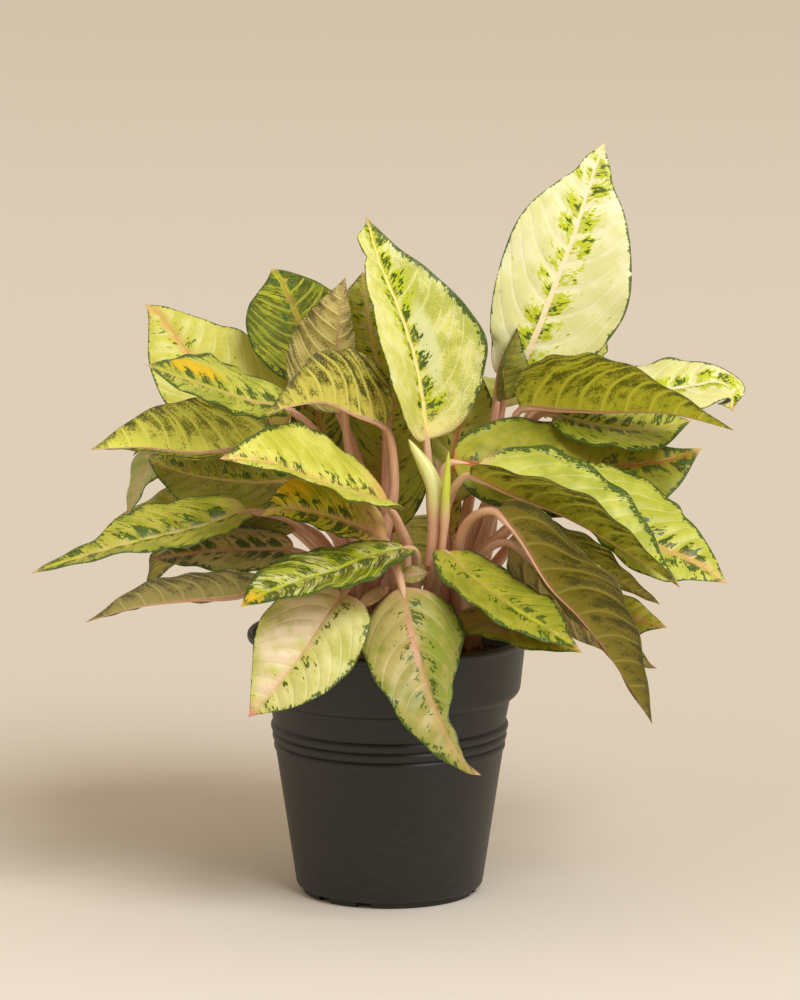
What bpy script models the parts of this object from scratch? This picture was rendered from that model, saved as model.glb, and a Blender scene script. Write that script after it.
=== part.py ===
"""Potted chinese evergreen: a bushy foliage plant in a ridged round nursery pot.

Metres, +Z up. The origin is the centre of the pot's underside, and the plant's front faces -Y.
The sizes below are in millimetres and become metres where a mesh is made.
"""

import math
from dataclasses import dataclass

import bmesh
import bpy
from mathutils import Vector
from mathutils.geometry import interpolate_bezier

MM = 0.001
CLEARANCE = 0.35
WELD = 0.00002

# Pot: points are (radius, height), and sections are offsets (out, up) from where they sit.
POT_HEIGHT = 195.4
LIP_RADIUS = 105.0
LIP_SECTION = ((-4.0, -1.6), (-2.6, 0), (-1.0, -0.4), (0, -1.8), (0, -4.0), (-1.4, -5.6), (-4.1, -6.3))
BAND_TOP = (100.3, 187.5)
BAND_BOTTOM = (96.9, 155.0)
BAND_CORNER = 7.6
BAND_CORNER_TURNS = (0, 30, 60, 90)
NECK_TOP = (89.2, 145.6)
NECK_BOTTOM = (85.9, 128.4)
RIDGE_LEVELS = (124.8, 117.5, 110.2)
RIDGE_SECTION = ((0.4, 1.6), (0.6, -1.3), (-0.75, -3.5))
BELOW_RIDGES = 104.2
BODY_BOTTOM = (69.3, 8.0)
BODY_TAPER = 0.153
BODY_CORNER = ((68.6, 5.8), (66.9, 4.5))
FOOT_RADIUS = 64.5
FOOT_HEIGHT = 4.4
FLOOR = 2.5
FLOOR_DRAFT = 1.0
CHANNEL = (28.0, 60.0)
CHANNEL_DEPTH = 4.0
WALL = 2.2
POT_STEPS = 32
NOTCH_SIZE = (14.0, 12.5, 6.6)
NOTCH_ANGLES = (-107.0, -138.0)
NOTCH_GROUPS = 3
DRAIN_RADIUS = 4.5
DRAIN_CIRCLE = 46.0
DRAIN_HOLES = 6
DRAIN_SIDES = 16
DRAIN_REACH = (1.0, 12.0)

# Soil and canes
SOIL_LEVEL = 172.0
# Share of the soil's radius, and height above its rim there.
SOIL_CROWN = ((0.55, 3.0), (0.0, 4.0))
CANE_RADIUS = 12.0
CANE_FOOT = 120.0
CANE_TOP = 198.0
CANE_SIDES = 12
STALK_ROOT = 184.0
STALK_SPREAD = 6.0

# Stalks and blades
STALK_RADII = (6.2, 2.9)
STALK_KNOTS = (0.0, 0.3, 0.56, 0.77, 0.92, 1.0)
# The rows and columns of a blade that lie near its stalk's end.
SEAT_ROWS = (0, 1, 2)
SEAT_COLUMNS = (-1.0, -0.75, -0.5, -0.25, 0.0, 0.25, 0.5, 0.75, 1.0)
SEAT_STEP = 0.02
# Share of a rolled leaf's length, and share of its radius there.
SPEAR_OUTLINE = ((0.0, 0.75), (0.15, 1.0), (0.5, 1.0), (0.85, 0.7), (1.0, 0.25))
BLADE_THICKNESS = 0.8
PATH_STEPS = 8
BLADE_ROWS = (0.0, 0.04, 0.12, 0.25, 0.40, 0.55, 0.69, 0.81, 0.91, 1.0)
BLADE_COLUMNS = 4
BASE_BREADTH = 0.07
TIP_DRAW = 1.1
TIP_SHARP = 1.15
HALVES_OFFSET = 0.35

# Shoots: where each cane stands.
SHOOTS = {"a": (-22, -6), "b": (20, -20), "c": (56, -6), "d": (-8, 30), "e": (42, 28)}


@dataclass
class Leaf:
    """A blade on its stalk.

    stalk holds the points between the cane and the blade, and spine runs from the blade's base to its tip.
    face says which way the upper side looks at the base and at the tip. fold lifts the left and right
    halves off flat and curl bends them on towards the margin, in degrees, both as seen from the base
    towards the tip. halves are the greatest widths of the left and right halves, and belly the shares of
    the length where they are reached. wave is the margin's height, its waves along the blade and where
    they start.
    """

    name: str
    shoot: str
    stalk: tuple
    spine: tuple
    halves: tuple
    face: tuple
    fold: tuple = (12, 12)
    curl: tuple = (-15, -15)
    wave: tuple = (2.0, 1.8, 0.0)
    belly: tuple = (0.42, 0.42)


LEAVES = (
    # Upright leaves at the top of the crown
    Leaf("leaf_top_1", "b", ((31, -4, 248), (30, 2, 293)),
         ((27, 5, 337), (19, 2, 393), (8, 2, 430), (-8, 12, 469), (-17, 24, 500)),
         (52, 48), ((0.5, -0.85, 0.1), (0.3, -0.9, 0.3)), (50, 28), belly=(0.35, 0.32)),
    Leaf("leaf_top_2", "e", ((72, 32, 250), (78, 46, 305), (82, 50, 348)),
         ((88, 46, 374), (103, 44, 398), (120, 44, 441), (136, 50, 483), (150, 64, 525),
          (159, 76, 548)),
         (46, 51), ((0.1, -0.95, 0.1), (-0.1, -0.9, 0.3)), (24, 8), belly=(0.5, 0.4)),
    Leaf("leaf_top_3", "d", ((-6, 34, 250), (-24, 38, 317)),
         ((-47, 45, 375), (-65, 60, 412), (-79, 85, 440), (-88, 98, 451)),
         (42, 42), ((0.2, -0.9, 0.4), (0.2, -0.8, 0.5))),
    Leaf("leaf_top_4", "a", ((-18, -2, 250), (-28, 2, 315)),
         ((-33, 0, 358), (-38, -8, 402), (-36, -14, 434), (-32, -16, 461)),
         (15, 39), ((0.1, 0.9, -0.1), (0.1, 0.9, 0.0)), belly=(0.3, 0.3)),
    Leaf("leaf_top_5", "d", ((-4, 28, 250), (-2, 28, 319)),
         ((-3, 30, 363), (-13, 34, 407), (-20, 48, 456)),
         (40, 40), ((0.2, -0.9, 0.3), (0.2, -0.9, 0.3))),
    Leaf("leaf_top_6", "a", ((-8, -14, 251), (3, -16, 300), (2, -18, 335)),
         ((-3, -20, 350), (-25, -40, 363), (-47, -62, 376), (-71, -85, 377), (-89, -95, 373)),
         (45, 36), ((-0.5, 0.6, 0.6), (-0.4, 0.6, 0.6)), (45, 70), belly=(0.33, 0.33)),
    Leaf("leaf_top_7", "c", ((70, 6, 250), (75, 26, 307), (77, 38, 342)),
         ((79, 37, 362), (82, 32, 390), (94, 34, 416)),
         (24, 24), ((0.6, -0.6, 0.3), (0.6, -0.6, 0.3)), (62, 62)),

    # Right side
    Leaf("leaf_right_1", "c", ((67, 4, 250), (82, 16, 308), (90, 34, 340)),
         ((97, 34, 355), (126, 20, 357), (154, 5, 358), (205, -15, 360), (251, -32, 351)),
         (28, 57), ((0.0, 0.75, 0.65), (0.1, 0.2, 0.95)), (48, 30), belly=(0.42, 0.4)),
    Leaf("leaf_right_2", "e", ((60, 38, 250), (92, 54, 324), (112, 64, 350)),
         ((126, 66, 356), (171, 74, 356), (224, 84, 364), (251, 91, 364), (257, 94, 343)),
         (42, 42), ((0.0, -0.3, 0.95), (0.1, -0.3, 0.95)), belly=(0.5, 0.55)),
    Leaf("leaf_right_3", "e", ((66, 28, 250), (100, 48, 335), (112, 46, 350)),
         ((122, 38, 350), (155, 26, 344), (190, 22, 342), (223, 26, 348)),
         (30, 30), ((0.0, -0.45, 0.9), (0.1, -0.45, 0.9)), belly=(0.55, 0.55)),
    Leaf("leaf_right_4", "b", ((34, -6, 247), (35, -6, 290), (39, -6, 314)),
         ((46, -5, 322), (81, -4, 318), (144, 10, 315), (203, 24, 318), (231, 28, 327)),
         (46, 48), ((0.0, -0.7, 0.7), (0.0, -0.7, 0.7)), (8, 8), belly=(0.3, 0.6)),
    Leaf("leaf_right_5", "b", ((36, -18, 252), (38, -21, 275), (43, -28, 298), (51, -37, 314)),
         ((59, -42, 319), (88, -54, 308), (124, -66, 295), (164, -76, 274), (211, -84, 244)),
         (52, 44), ((0.2, 0.1, 0.95), (0.3, 0.1, 0.9)), (58, 38), belly=(0.32, 0.42)),
    Leaf("leaf_right_6", "c", ((62, -10, 244), (86, -31, 276), (106, -39, 294)),
         ((125, -28, 307), (162, -28, 290), (195, -38, 266), (223, -46, 255), (246, -52, 241)),
         (42, 34), ((0.1, -0.6, 0.8), (0.1, -0.6, 0.8)), belly=(0.42, 0.55)),
    Leaf("leaf_right_7", "c", ((60, -12, 243), (80, -16, 270)),
         ((96, -18, 280), (125, -26, 266), (161, -34, 244), (198, -40, 223)),
         (30, 32), ((0.2, 0.5, 0.8), (0.3, 0.5, 0.8))),
    Leaf("leaf_right_8", "c", ((50, -24, 231), (50, -36, 262), (56, -50, 284), (67, -64, 296)),
         ((78, -72, 297), (94, -82, 281), (116, -94, 247), (137, -101, 226), (158, -107, 200),
          (190, -114, 150)),
         (43, 43), ((0.7, 0.5, 0.5), (0.8, 0.5, 0.3)), (30, 35)),
    Leaf("leaf_right_9", "c", ((54, -16, 226), (61, -25, 250), (76, -35, 266)),
         ((88, -40, 268), (100, -44, 259), (118, -49, 242), (150, -56, 213), (187, -62, 183),
          (195, -64, 180)),
         (28, 28), ((0.2, 0.9, 0.2), (0.3, 0.9, 0.3)), belly=(0.3, 0.3)),
    Leaf("leaf_right_10", "b", ((31, -34, 236),),
         ((40, -52, 264), (58, -75, 252), (87, -105, 235), (115, -125, 221), (137, -132, 208)),
         (34, 34), ((0.3, -0.3, 0.9), (0.3, -0.4, 0.8)), belly=(0.5, 0.5)),
    Leaf("leaf_right_11", "c", ((70, 4, 218), (92, 5, 224)),
         ((115, 5, 217), (156, 10, 203), (185, 10, 200), (205, 8, 196)),
         (35, 32), ((0.0, -0.4, 0.9), (0.1, -0.4, 0.9))),
    Leaf("leaf_right_12", "b", ((37, -32, 212),),
         ((48, -48, 217), (75, -78, 216), (105, -104, 212), (139, -118, 203)),
         (30, 25), ((0.1, -0.45, 0.9), (0.2, -0.45, 0.9))),

    # Front
    Leaf("leaf_front_1", "b", ((4, -26, 236), (0, -45, 256), (4, -66, 259)),
         ((9, -90, 246), (17, -124, 217), (28, -143, 180), (40, -149, 152), (56, -149, 126),
          (66, -146, 119)),
         (46, 38), ((0.0, -0.9, 0.5), (1.0, -0.35, 0.05)), (-12, -20), belly=(0.22, 0.24)),
    Leaf("leaf_front_2", "a", ((-20, -30, 236), (-24, -60, 250)),
         ((-33, -84, 240), (-47, -108, 225), (-73, -130, 191), (-101, -138, 160)),
         (38, 38), ((-0.1, -0.9, 0.5), (-0.3, -0.95, 0.2)), (12, 22)),
    Leaf("leaf_front_3", "b", ((19, -34, 240), (19, -48, 262)),
         ((13, -58, 268), (-13, -80, 267), (-39, -100, 260), (-64, -118, 256), (-91, -138, 249),
          (-106, -148, 243)),
         (38, 30), ((-0.1, -0.3, 0.95), (-0.2, -0.4, 0.9)), (16, 16), belly=(0.58, 0.66)),
    Leaf("leaf_front_4", "b", ((14, -22, 258), (8, -32, 278)),
         ((-1, -45, 296), (-28, -70, 312), (-57, -92, 325), (-89, -115, 341), (-121, -130, 347)),
         (50, 50), ((-0.1, -0.5, 0.85), (-0.1, -0.5, 0.85)), (28, 28)),
    Leaf("leaf_front_5", "a", ((-10, -18, 236), (0, -26, 256)),
         ((-3, -36, 270), (-21, -50, 282), (-47, -68, 294), (-75, -84, 302), (-92, -90, 298)),
         (16, 38), ((-0.1, -0.7, 0.7), (-0.1, -0.7, 0.7)), belly=(0.6, 0.5)),

    # Left side
    Leaf("leaf_left_1", "d", ((-18, 32, 248), (-45, 33, 311)),
         ((-79, 38, 337), (-115, 50, 363), (-147, 66, 389), (-171, 80, 417), (-182, 86, 426)),
         (42, 42), ((0.3, -0.9, 0.3), (0.2, -0.9, 0.4))),
    Leaf("leaf_left_2", "a", ((-24, -2, 250), (-44, -4, 330)),
         ((-72, -8, 361), (-102, -25, 371), (-130, -45, 384), (-155, -62, 396), (-175, -75, 406)),
         (28, 35), ((0.0, -0.4, 0.9), (0.0, -0.4, 0.9)), (5, 25), belly=(0.68, 0.42)),
    Leaf("leaf_left_3", "a", ((-30, -4, 241), (-56, -9, 308)),
         ((-89, -15, 336), (-113, -22, 335), (-142, -32, 334), (-181, -44, 340), (-217, -52, 340)),
         (45, 36), ((0.0, 0.97, 0.2), (0.0, 0.9, 0.4)), (15, 62), belly=(0.35, 0.35)),
    Leaf("leaf_left_4", "d", ((-22, 28, 232), (-43, 20, 278)),
         ((-66, 14, 302), (-103, 18, 303), (-136, 22, 306), (-158, 25, 311), (-181, 26, 322)),
         (40, 40), ((-0.1, -0.6, 0.8), (-0.1, -0.6, 0.8))),
    Leaf("leaf_left_5", "d", ((-22, 38, 235), (-66, 52, 300)),
         ((-115, 66, 306), (-148, 70, 312), (-178, 70, 306), (-190, 68, 286), (-196, 66, 266)),
         (35, 35), ((0.0, -0.2, 0.95), (-0.8, -0.3, 0.3)), (10, 10)),
    Leaf("leaf_left_6", "a", ((-32, -8, 231), (-66, -14, 277)),
         ((-103, -32, 290), (-138, -50, 282), (-177, -68, 276), (-209, -82, 270), (-258, -95, 257)),
         (42, 33), ((-0.1, -0.35, 0.93), (-0.1, -0.35, 0.93)), (25, 25), belly=(0.3, 0.28)),
    Leaf("leaf_left_7", "a", ((-30, 2, 229), (-50, 8, 263)),
         ((-66, 12, 272), (-84, 16, 279), (-112, 22, 281), (-148, 26, 274)),
         (30, 30), ((0.0, -0.6, 0.8), (0.0, -0.6, 0.8))),
    Leaf("leaf_left_8", "a", ((-30, -16, 222), (-50, -24, 250)),
         ((-70, -26, 260), (-96, -28, 261), (-124, -32, 261), (-158, -36, 258), (-173, -38, 256)),
         (31, 31), ((0.0, -0.4, 0.9), (0.0, -0.4, 0.9))),
    Leaf("leaf_left_9", "a", ((-36, -24, 224), (-62, -40, 240)),
         ((-93, -52, 240), (-110, -60, 233), (-145, -75, 233), (-184, -92, 231), (-219, -105, 223)),
         (29, 28), ((0.0, 0.6, 0.75), (0.0, 0.6, 0.75)), (30, 30), belly=(0.35, 0.35)),
    Leaf("leaf_left_10", "d", ((-22, 40, 228), (-52, 58, 268)),
         ((-89, 74, 279), (-141, 78, 281), (-174, 78, 273), (-207, 78, 264)),
         (28, 28), ((0.0, -0.3, 0.95), (-0.2, -0.3, 0.9))),

    # Back, out of the front view
    Leaf("leaf_back_1", "d", ((-30, 60, 250), (-70, 84, 310)),
         ((-92, 96, 330), (-130, 118, 338), (-165, 136, 325), (-195, 150, 300)),
         (45, 45), ((-0.2, 0.1, 0.95), (-0.6, 0.4, 0.6))),
    Leaf("leaf_back_2", "d", ((-14, 70, 262), (-30, 104, 330)),
         ((-38, 120, 352), (-52, 150, 362), (-68, 182, 350), (-82, 208, 322)),
         (46, 46), ((0.0, 0.2, 0.95), (-0.2, 0.7, 0.6))),
    Leaf("leaf_back_3", "e", ((38, 56, 280), (30, 76, 330)),
         ((26, 84, 352), (20, 100, 378), (10, 126, 396), (2, 158, 400)),
         (44, 44), ((0.0, -0.6, 0.8), (0.0, 0.1, 0.95))),
    Leaf("leaf_back_4", "e", ((56, 70, 262), (70, 108, 322)),
         ((78, 124, 340), (92, 156, 352), (106, 186, 344), (120, 212, 318)),
         (45, 45), ((0.0, 0.2, 0.95), (0.4, 0.6, 0.6))),
    Leaf("leaf_back_5", "e", ((76, 64, 270), (104, 104, 338)),
         ((114, 116, 351), (126, 130, 366), (142, 148, 382), (160, 168, 392)),
         (38, 38), ((-0.3, -0.5, 0.8), (-0.2, 0.0, 0.95))),
    Leaf("leaf_back_6", "d", ((-34, 46, 224), (-70, 74, 256)),
         ((-92, 88, 262), (-128, 104, 254), (-160, 118, 232), (-186, 128, 200)),
         (40, 40), ((-0.2, 0.2, 0.95), (-0.7, 0.4, 0.5))),
    Leaf("leaf_back_7", "e", ((76, 48, 232), (118, 66, 276)),
         ((138, 74, 284), (176, 88, 274), (206, 100, 250), (228, 108, 218)),
         (42, 42), ((0.2, 0.1, 0.95), (0.7, 0.3, 0.5))),
    Leaf("leaf_back_8", "d", ((-6, 64, 226), (2, 100, 252)),
         ((6, 118, 256), (12, 148, 246), (16, 174, 220), (18, 192, 184)),
         (42, 42), ((0.0, 0.3, 0.95), (0.1, 0.9, 0.3))),
    Leaf("leaf_back_9", "e", ((46, 48, 220), (46, 74, 236)),
         ((45, 80, 250), (44, 82, 272), (43, 80, 296), (41, 76, 318)),
         (10, 10), ((-0.1, -0.98, 0.0), (-0.1, -0.98, 0.0)), wave=(1.0, 1.5, 0.0)),

    # Papery bracts at the foot of the stalks
    Leaf("bract_1", "b", ((8, -34, 222), (6, -54, 238)),
         ((9, -66, 249), (17, -70, 251), (29, -68, 252)),
         (7, 7), ((0.0, -0.8, 0.6), (0.0, -0.8, 0.6)), wave=(0.5, 1.0, 0.0)),
    Leaf("bract_2", "a", ((-14, -26, 220), (-6, -48, 232)),
         ((-3, -58, 238), (-12, -68, 234), (-24, -78, 227)),
         (6, 6), ((-0.1, -0.7, 0.7), (-0.1, -0.7, 0.7)), wave=(0.5, 1.0, 0.0)),
)

# Rolled new leaves at the heart of the crown: name, shoot, the stub's points, the roll's points, radius.
SPEARS = (
    ("spear_1", "b", ((30, -32, 250), (33, -36, 278)), ((33, -36, 279), (32, -33, 310), (14, -26, 343)), 5.2),
    ("spear_2", "b", ((37, -40, 250), (40, -45, 282)), ((40, -45, 283), (41, -45, 308), (43, -44, 337)), 3.3),
)


def to_metres(point):
    return Vector(point) * MM


def material(name, colour, roughness):
    made = bpy.data.materials.new(name)
    made.use_nodes = True
    shader = made.node_tree.nodes["Principled BSDF"]
    shader.inputs["Base Color"].default_value = (*colour, 1.0)
    shader.inputs["Roughness"].default_value = roughness
    shader.inputs["Metallic"].default_value = 0.0
    made.diffuse_color = (*colour, 1.0)
    return made


def new_object(name, data, collection, finish=None):
    made = bpy.data.objects.new(name, data)
    collection.objects.link(made)
    if finish:
        made.data.materials.append(finish)
    return made


def turned(name, profile, collection, finish):
    """A closed body turned from (radius, height) points that start and end on the axis."""
    mesh = bpy.data.meshes.new(name)
    points = [to_metres((radius, 0, height)) for radius, height in profile]
    mesh.from_pydata(points, [(i, i + 1) for i in range(len(points) - 1)], [])
    made = new_object(name, mesh, collection, finish)
    screw = made.modifiers.new("turn", "SCREW")
    screw.axis = "Z"
    screw.angle = math.tau
    screw.steps = POT_STEPS
    screw.render_steps = POT_STEPS
    screw.use_merge_vertices = True
    screw.merge_threshold = 0.0001
    screw.use_smooth_shade = True
    return made


def cut_by(target, cutters):
    cut = target.modifiers.new("cut", "BOOLEAN")
    cut.operation = "DIFFERENCE"
    cut.solver = "EXACT"
    cut.operand_type = "COLLECTION"
    cut.collection = cutters


def cylinder(name, radius, levels, centre, sides, collection):
    """An upright cylinder between two levels, with its origin at its middle."""
    bottom, top = levels
    mesh = bpy.data.meshes.new(name)
    shape = bmesh.new()
    bmesh.ops.create_cone(shape, cap_ends=True, cap_tris=False, segments=sides,
                          radius1=radius * MM, radius2=radius * MM, depth=(top - bottom) * MM)
    shape.to_mesh(mesh)
    shape.free()
    made = new_object(name, mesh, collection)
    made.location = to_metres((*centre, (bottom + top) / 2))
    return made


def box(name, size, collection):
    mesh = bpy.data.meshes.new(name)
    shape = bmesh.new()
    bmesh.ops.create_cube(shape, size=1.0)
    bmesh.ops.scale(shape, vec=to_metres(size), verts=shape.verts)
    shape.to_mesh(mesh)
    shape.free()
    return new_object(name, mesh, collection)


def as_cutter(made):
    made.hide_render = True
    made.display_type = "WIRE"


def collection_in(name, parent):
    made = bpy.data.collections.new(name)
    parent.children.link(made)
    return made


def body_radius(level):
    """The outer radius of the pot's tapered body at a level."""
    return BODY_BOTTOM[0] + BODY_TAPER * (level - BODY_BOTTOM[1])


def inner_wall():
    """The inside of the pot from the middle of its floor up to below the lip."""
    floor = CHANNEL_DEPTH + FLOOR
    return [
        (CHANNEL[0] - WALL - FLOOR_DRAFT, FLOOR),
        (CHANNEL[0] - WALL, floor),
        (BODY_BOTTOM[0] - 2 * WALL, floor),
        (BODY_BOTTOM[0] - WALL, floor + WALL),
        (body_radius(BELOW_RIDGES) - WALL, BELOW_RIDGES),
        (NECK_BOTTOM[0] - WALL, NECK_BOTTOM[1]),
        (NECK_TOP[0] - WALL, NECK_TOP[1] + WALL),
        (BAND_BOTTOM[0] - WALL, BAND_BOTTOM[1] + WALL),
        (BAND_TOP[0] - WALL, BAND_TOP[1]),
    ]


def band_corner():
    """The quarter round under the rim band, down to the neck."""
    corner = []
    for turn in BAND_CORNER_TURNS:
        angle = math.radians(turn)
        radius = BAND_BOTTOM[0] - BAND_CORNER * (1 - math.cos(angle))
        corner.append((radius, BAND_BOTTOM[1] - BAND_CORNER * math.sin(angle)))
    return corner


def ridges():
    """Three low rounded ridges between the neck and the body."""
    return [(body_radius(level) + out, level + up) for level in RIDGE_LEVELS for out, up in RIDGE_SECTION]


def pot_profile():
    lip = [(LIP_RADIUS + out, POT_HEIGHT + up) for out, up in LIP_SECTION]
    foot = [
        BODY_BOTTOM,
        *BODY_CORNER,
        (FOOT_RADIUS, FOOT_HEIGHT),
        (FOOT_RADIUS, 0),
        (CHANNEL[1], 0),
        (CHANNEL[1], CHANNEL_DEPTH),
        (CHANNEL[0], CHANNEL_DEPTH),
        (CHANNEL[0], 0),
    ]
    outside = [BAND_TOP, *band_corner(), NECK_TOP, NECK_BOTTOM, *ridges()]
    return [(0, FLOOR), *inner_wall(), *lip, *outside, *foot, (0, 0)]


def build_pot(parts, cutters):
    finish = material("pot_plastic", (0.028, 0.026, 0.025), 0.5)
    pot = turned("pot", pot_profile(), parts, finish)
    drains = collection_in("pot_cutters", cutters)
    for group in range(NOTCH_GROUPS):
        for start in NOTCH_ANGLES:
            angle = math.radians(start + 360 * group / NOTCH_GROUPS)
            notch = box(f"notch_{group}_{abs(start):.0f}", NOTCH_SIZE, drains)
            notch.location = to_metres((FOOT_RADIUS * math.cos(angle), FOOT_RADIUS * math.sin(angle), 0))
            notch.rotation_euler.z = angle
            as_cutter(notch)
    for index in range(DRAIN_HOLES):
        angle = math.tau * (index + 0.5) / DRAIN_HOLES
        centre = (DRAIN_CIRCLE * math.cos(angle), DRAIN_CIRCLE * math.sin(angle))
        as_cutter(cylinder(f"drain_{index}", DRAIN_RADIUS, DRAIN_REACH, centre, DRAIN_SIDES, drains))
    cut_by(pot, drains)


def build_soil(parts, cutters):
    """The soil fills the pot's inside, a clearance off its wall, with a blind hole for each cane."""
    wall = [(radius - CLEARANCE, level + CLEARANCE) for radius, level in inner_wall()]
    below, top = wall[-2], wall[-1]
    share = (SOIL_LEVEL - below[1]) / (top[1] - below[1])
    rim = below[0] + (top[0] - below[0]) * share
    crown = [(rim * part, SOIL_LEVEL + rise) for part, rise in SOIL_CROWN]
    outline = [(0, FLOOR + CLEARANCE), *wall[:-1], (rim, SOIL_LEVEL), *crown]
    finish = material("potting_soil", (0.035, 0.02, 0.012), 0.95)
    soil = turned("soil", outline[::-1], parts, finish)
    holes = collection_in("cane_holes", cutters)
    radius = CANE_RADIUS + CLEARANCE
    levels = CANE_FOOT - CLEARANCE, CANE_TOP
    for shoot, centre in SHOOTS.items():
        as_cutter(cylinder(f"hole_{shoot}", radius, levels, centre, CANE_SIDES, holes))
    cut_by(soil, holes)


def smooth_path(points):
    """Points along Bezier spans through the given points, with handles along their neighbours' direction."""
    points = [Vector(point) for point in points]
    last = len(points) - 1
    ways = [(points[min(i + 1, last)] - points[max(i - 1, 0)]).normalized() for i in range(last + 1)]
    path = [points[0]]
    for i in range(last):
        reach = (points[i + 1] - points[i]).length / 3
        start, end = points[i] + ways[i] * reach, points[i + 1] - ways[i + 1] * reach
        path += interpolate_bezier(points[i], start, end, points[i + 1], PATH_STEPS + 1)[1:]
    return path


def along(path, shares):
    """The (point, direction) at each share of a path's length."""
    steps = [(b - a).length for a, b in zip(path, path[1:])]
    total = sum(steps)
    found = []
    for share in shares:
        left = share * total
        index = 0
        while index < len(steps) - 1 and left > steps[index]:
            left -= steps[index]
            index += 1
        a, b = path[index], path[index + 1]
        found.append((a.lerp(b, min(left / steps[index], 1.0)), (b - a).normalized()))
    return found


def whole_path(leaf):
    """The stalk's path from inside its cane to the blade, and the blade's own path."""
    cane = Vector((*SHOOTS[leaf.shoot], STALK_ROOT))
    lean = Vector(leaf.stalk[0]) - cane
    lean.z = 0
    root = cane + lean.normalized() * min(STALK_SPREAD, lean.length)
    path = smooth_path((root, *leaf.stalk, *leaf.spine))
    base = (len(leaf.stalk) + 1) * PATH_STEPS
    return path[:base + 1], path[base:]


def breadth_at(share, belly):
    """A half blade's breadth at a share of its length, as a share of the greatest, which is at belly."""
    if share < belly:
        rise = 1 - share / belly
        return BASE_BREADTH + (1 - BASE_BREADTH) * math.sqrt(1 - rise * rise)
    fall = (share - belly) / (1 - belly)
    return max(math.cos(math.pi / 2 * fall ** TIP_DRAW), 0.0) ** TIP_SHARP


def blade_surface(leaf):
    """A function of the blade's row and the share across, -1 right margin to 1 left margin."""
    spine = along(whole_path(leaf)[1], BLADE_ROWS)
    faces = Vector(leaf.face[0]), Vector(leaf.face[1])

    def place(row, across):
        share = BLADE_ROWS[row]
        centre, way = spine[row]
        up = faces[0].lerp(faces[1], share)
        up = (up - way * up.dot(way)).normalized()
        left = up.cross(way)
        side = 0 if across > 0 else 1
        turn = math.radians(leaf.fold[side] + leaf.curl[side] * abs(across) / 2)
        reach = abs(across) * leaf.halves[side] * breadth_at(share, leaf.belly[side])
        height, count, start = leaf.wave
        swell = math.sin(math.tau * (count * share + start + HALVES_OFFSET * side))
        lift = reach * math.sin(turn) + height * swell * math.sin(math.pi * share) * across * across
        return centre + left * math.copysign(reach * math.cos(turn), across) + up * lift

    return place


def build_blade(leaf, parts, finish):
    """One blade: a grid laid on the leaf's surface, split alike on both faces and thickened."""
    rows = len(BLADE_ROWS) - 1
    shape = bmesh.new()
    bmesh.ops.create_grid(shape, x_segments=rows, y_segments=BLADE_COLUMNS, size=0.5)
    place = blade_surface(leaf)
    for vertex in shape.verts:
        row = round((vertex.co.x + 0.5) * rows)
        across = round((vertex.co.y + 0.5) * BLADE_COLUMNS) * 2 / BLADE_COLUMNS - 1
        vertex.co = place(row, across) * MM
    bmesh.ops.triangulate(shape, faces=shape.faces)
    bmesh.ops.remove_doubles(shape, verts=shape.verts, dist=WELD)
    mesh = bpy.data.meshes.new(leaf.name)
    shape.to_mesh(mesh)
    shape.free()
    mesh.shade_smooth()
    made = new_object(leaf.name, mesh, parts, finish)
    thick = made.modifiers.new("thickness", "SOLIDIFY")
    thick.thickness = BLADE_THICKNESS * MM
    thick.offset = 0.0
    return made


def tube(name, points, radii, collection):
    """A tapered round rod through the points, as a closed mesh."""
    curve = bpy.data.curves.new(name, "CURVE")
    curve.dimensions = "3D"
    curve.bevel_depth = MM
    curve.bevel_resolution = 1
    curve.use_fill_caps = True
    spline = curve.splines.new("POLY")
    spline.points.add(len(points) - 1)
    for knot, point, radius in zip(spline.points, points, radii):
        knot.co = (*(point * MM), 1.0)
        knot.radius = radius
    guide = new_object(name + "_path", curve, collection)
    bpy.context.view_layer.update()
    graph = bpy.context.evaluated_depsgraph_get()
    mesh = bpy.data.meshes.new_from_object(guide.evaluated_get(graph))
    mesh.name = name
    shape = bmesh.new()
    shape.from_mesh(mesh)
    bmesh.ops.remove_doubles(shape, verts=shape.verts, dist=WELD)
    shape.to_mesh(mesh)
    shape.free()
    bpy.data.objects.remove(guide)
    return new_object(name, mesh, collection)


def build_spear(name, points, radius, parts, finish):
    """A rolled leaf, a little thinner at its foot and pointed at its top."""
    placed = along(smooth_path(points), [share for share, _ in SPEAR_OUTLINE])
    radii = [radius * size for _, size in SPEAR_OUTLINE]
    spear = tube(name, [point for point, _ in placed], radii, parts)
    spear.data.materials.append(finish)
    spear.data.shade_smooth()


def seated_end(leaf, end, way, radius):
    """Where a stalk's flat end stops, so that the near part of its blade stays a clearance away from it."""
    place = blade_surface(leaf)
    near = [place(row, across) for row in SEAT_ROWS for across in SEAT_COLUMNS]
    reach = CLEARANCE + BLADE_THICKNESS / 2

    def off_end(point):
        ahead = (point - end).dot(way)
        aside = max((point - end - way * ahead).length - radius, 0)
        return math.hypot(max(ahead, 0), aside)

    while min(off_end(point) for point in near) < reach:
        end = end - way * SEAT_STEP
    return end


def build_stalk(leaf, collection):
    """A leaf's stalk, ending a clearance short of its blade."""
    points = [point for point, _ in along(whole_path(leaf)[0], STALK_KNOTS)]
    thick, thin = STALK_RADII
    way = (points[-1] - points[-2]).normalized()
    points[-1] = seated_end(leaf, points[-1], way, thin)
    radii = [thick + (thin - thick) * share for share in STALK_KNOTS]
    return tube("stalk_" + leaf.name, points, radii, collection)


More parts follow.
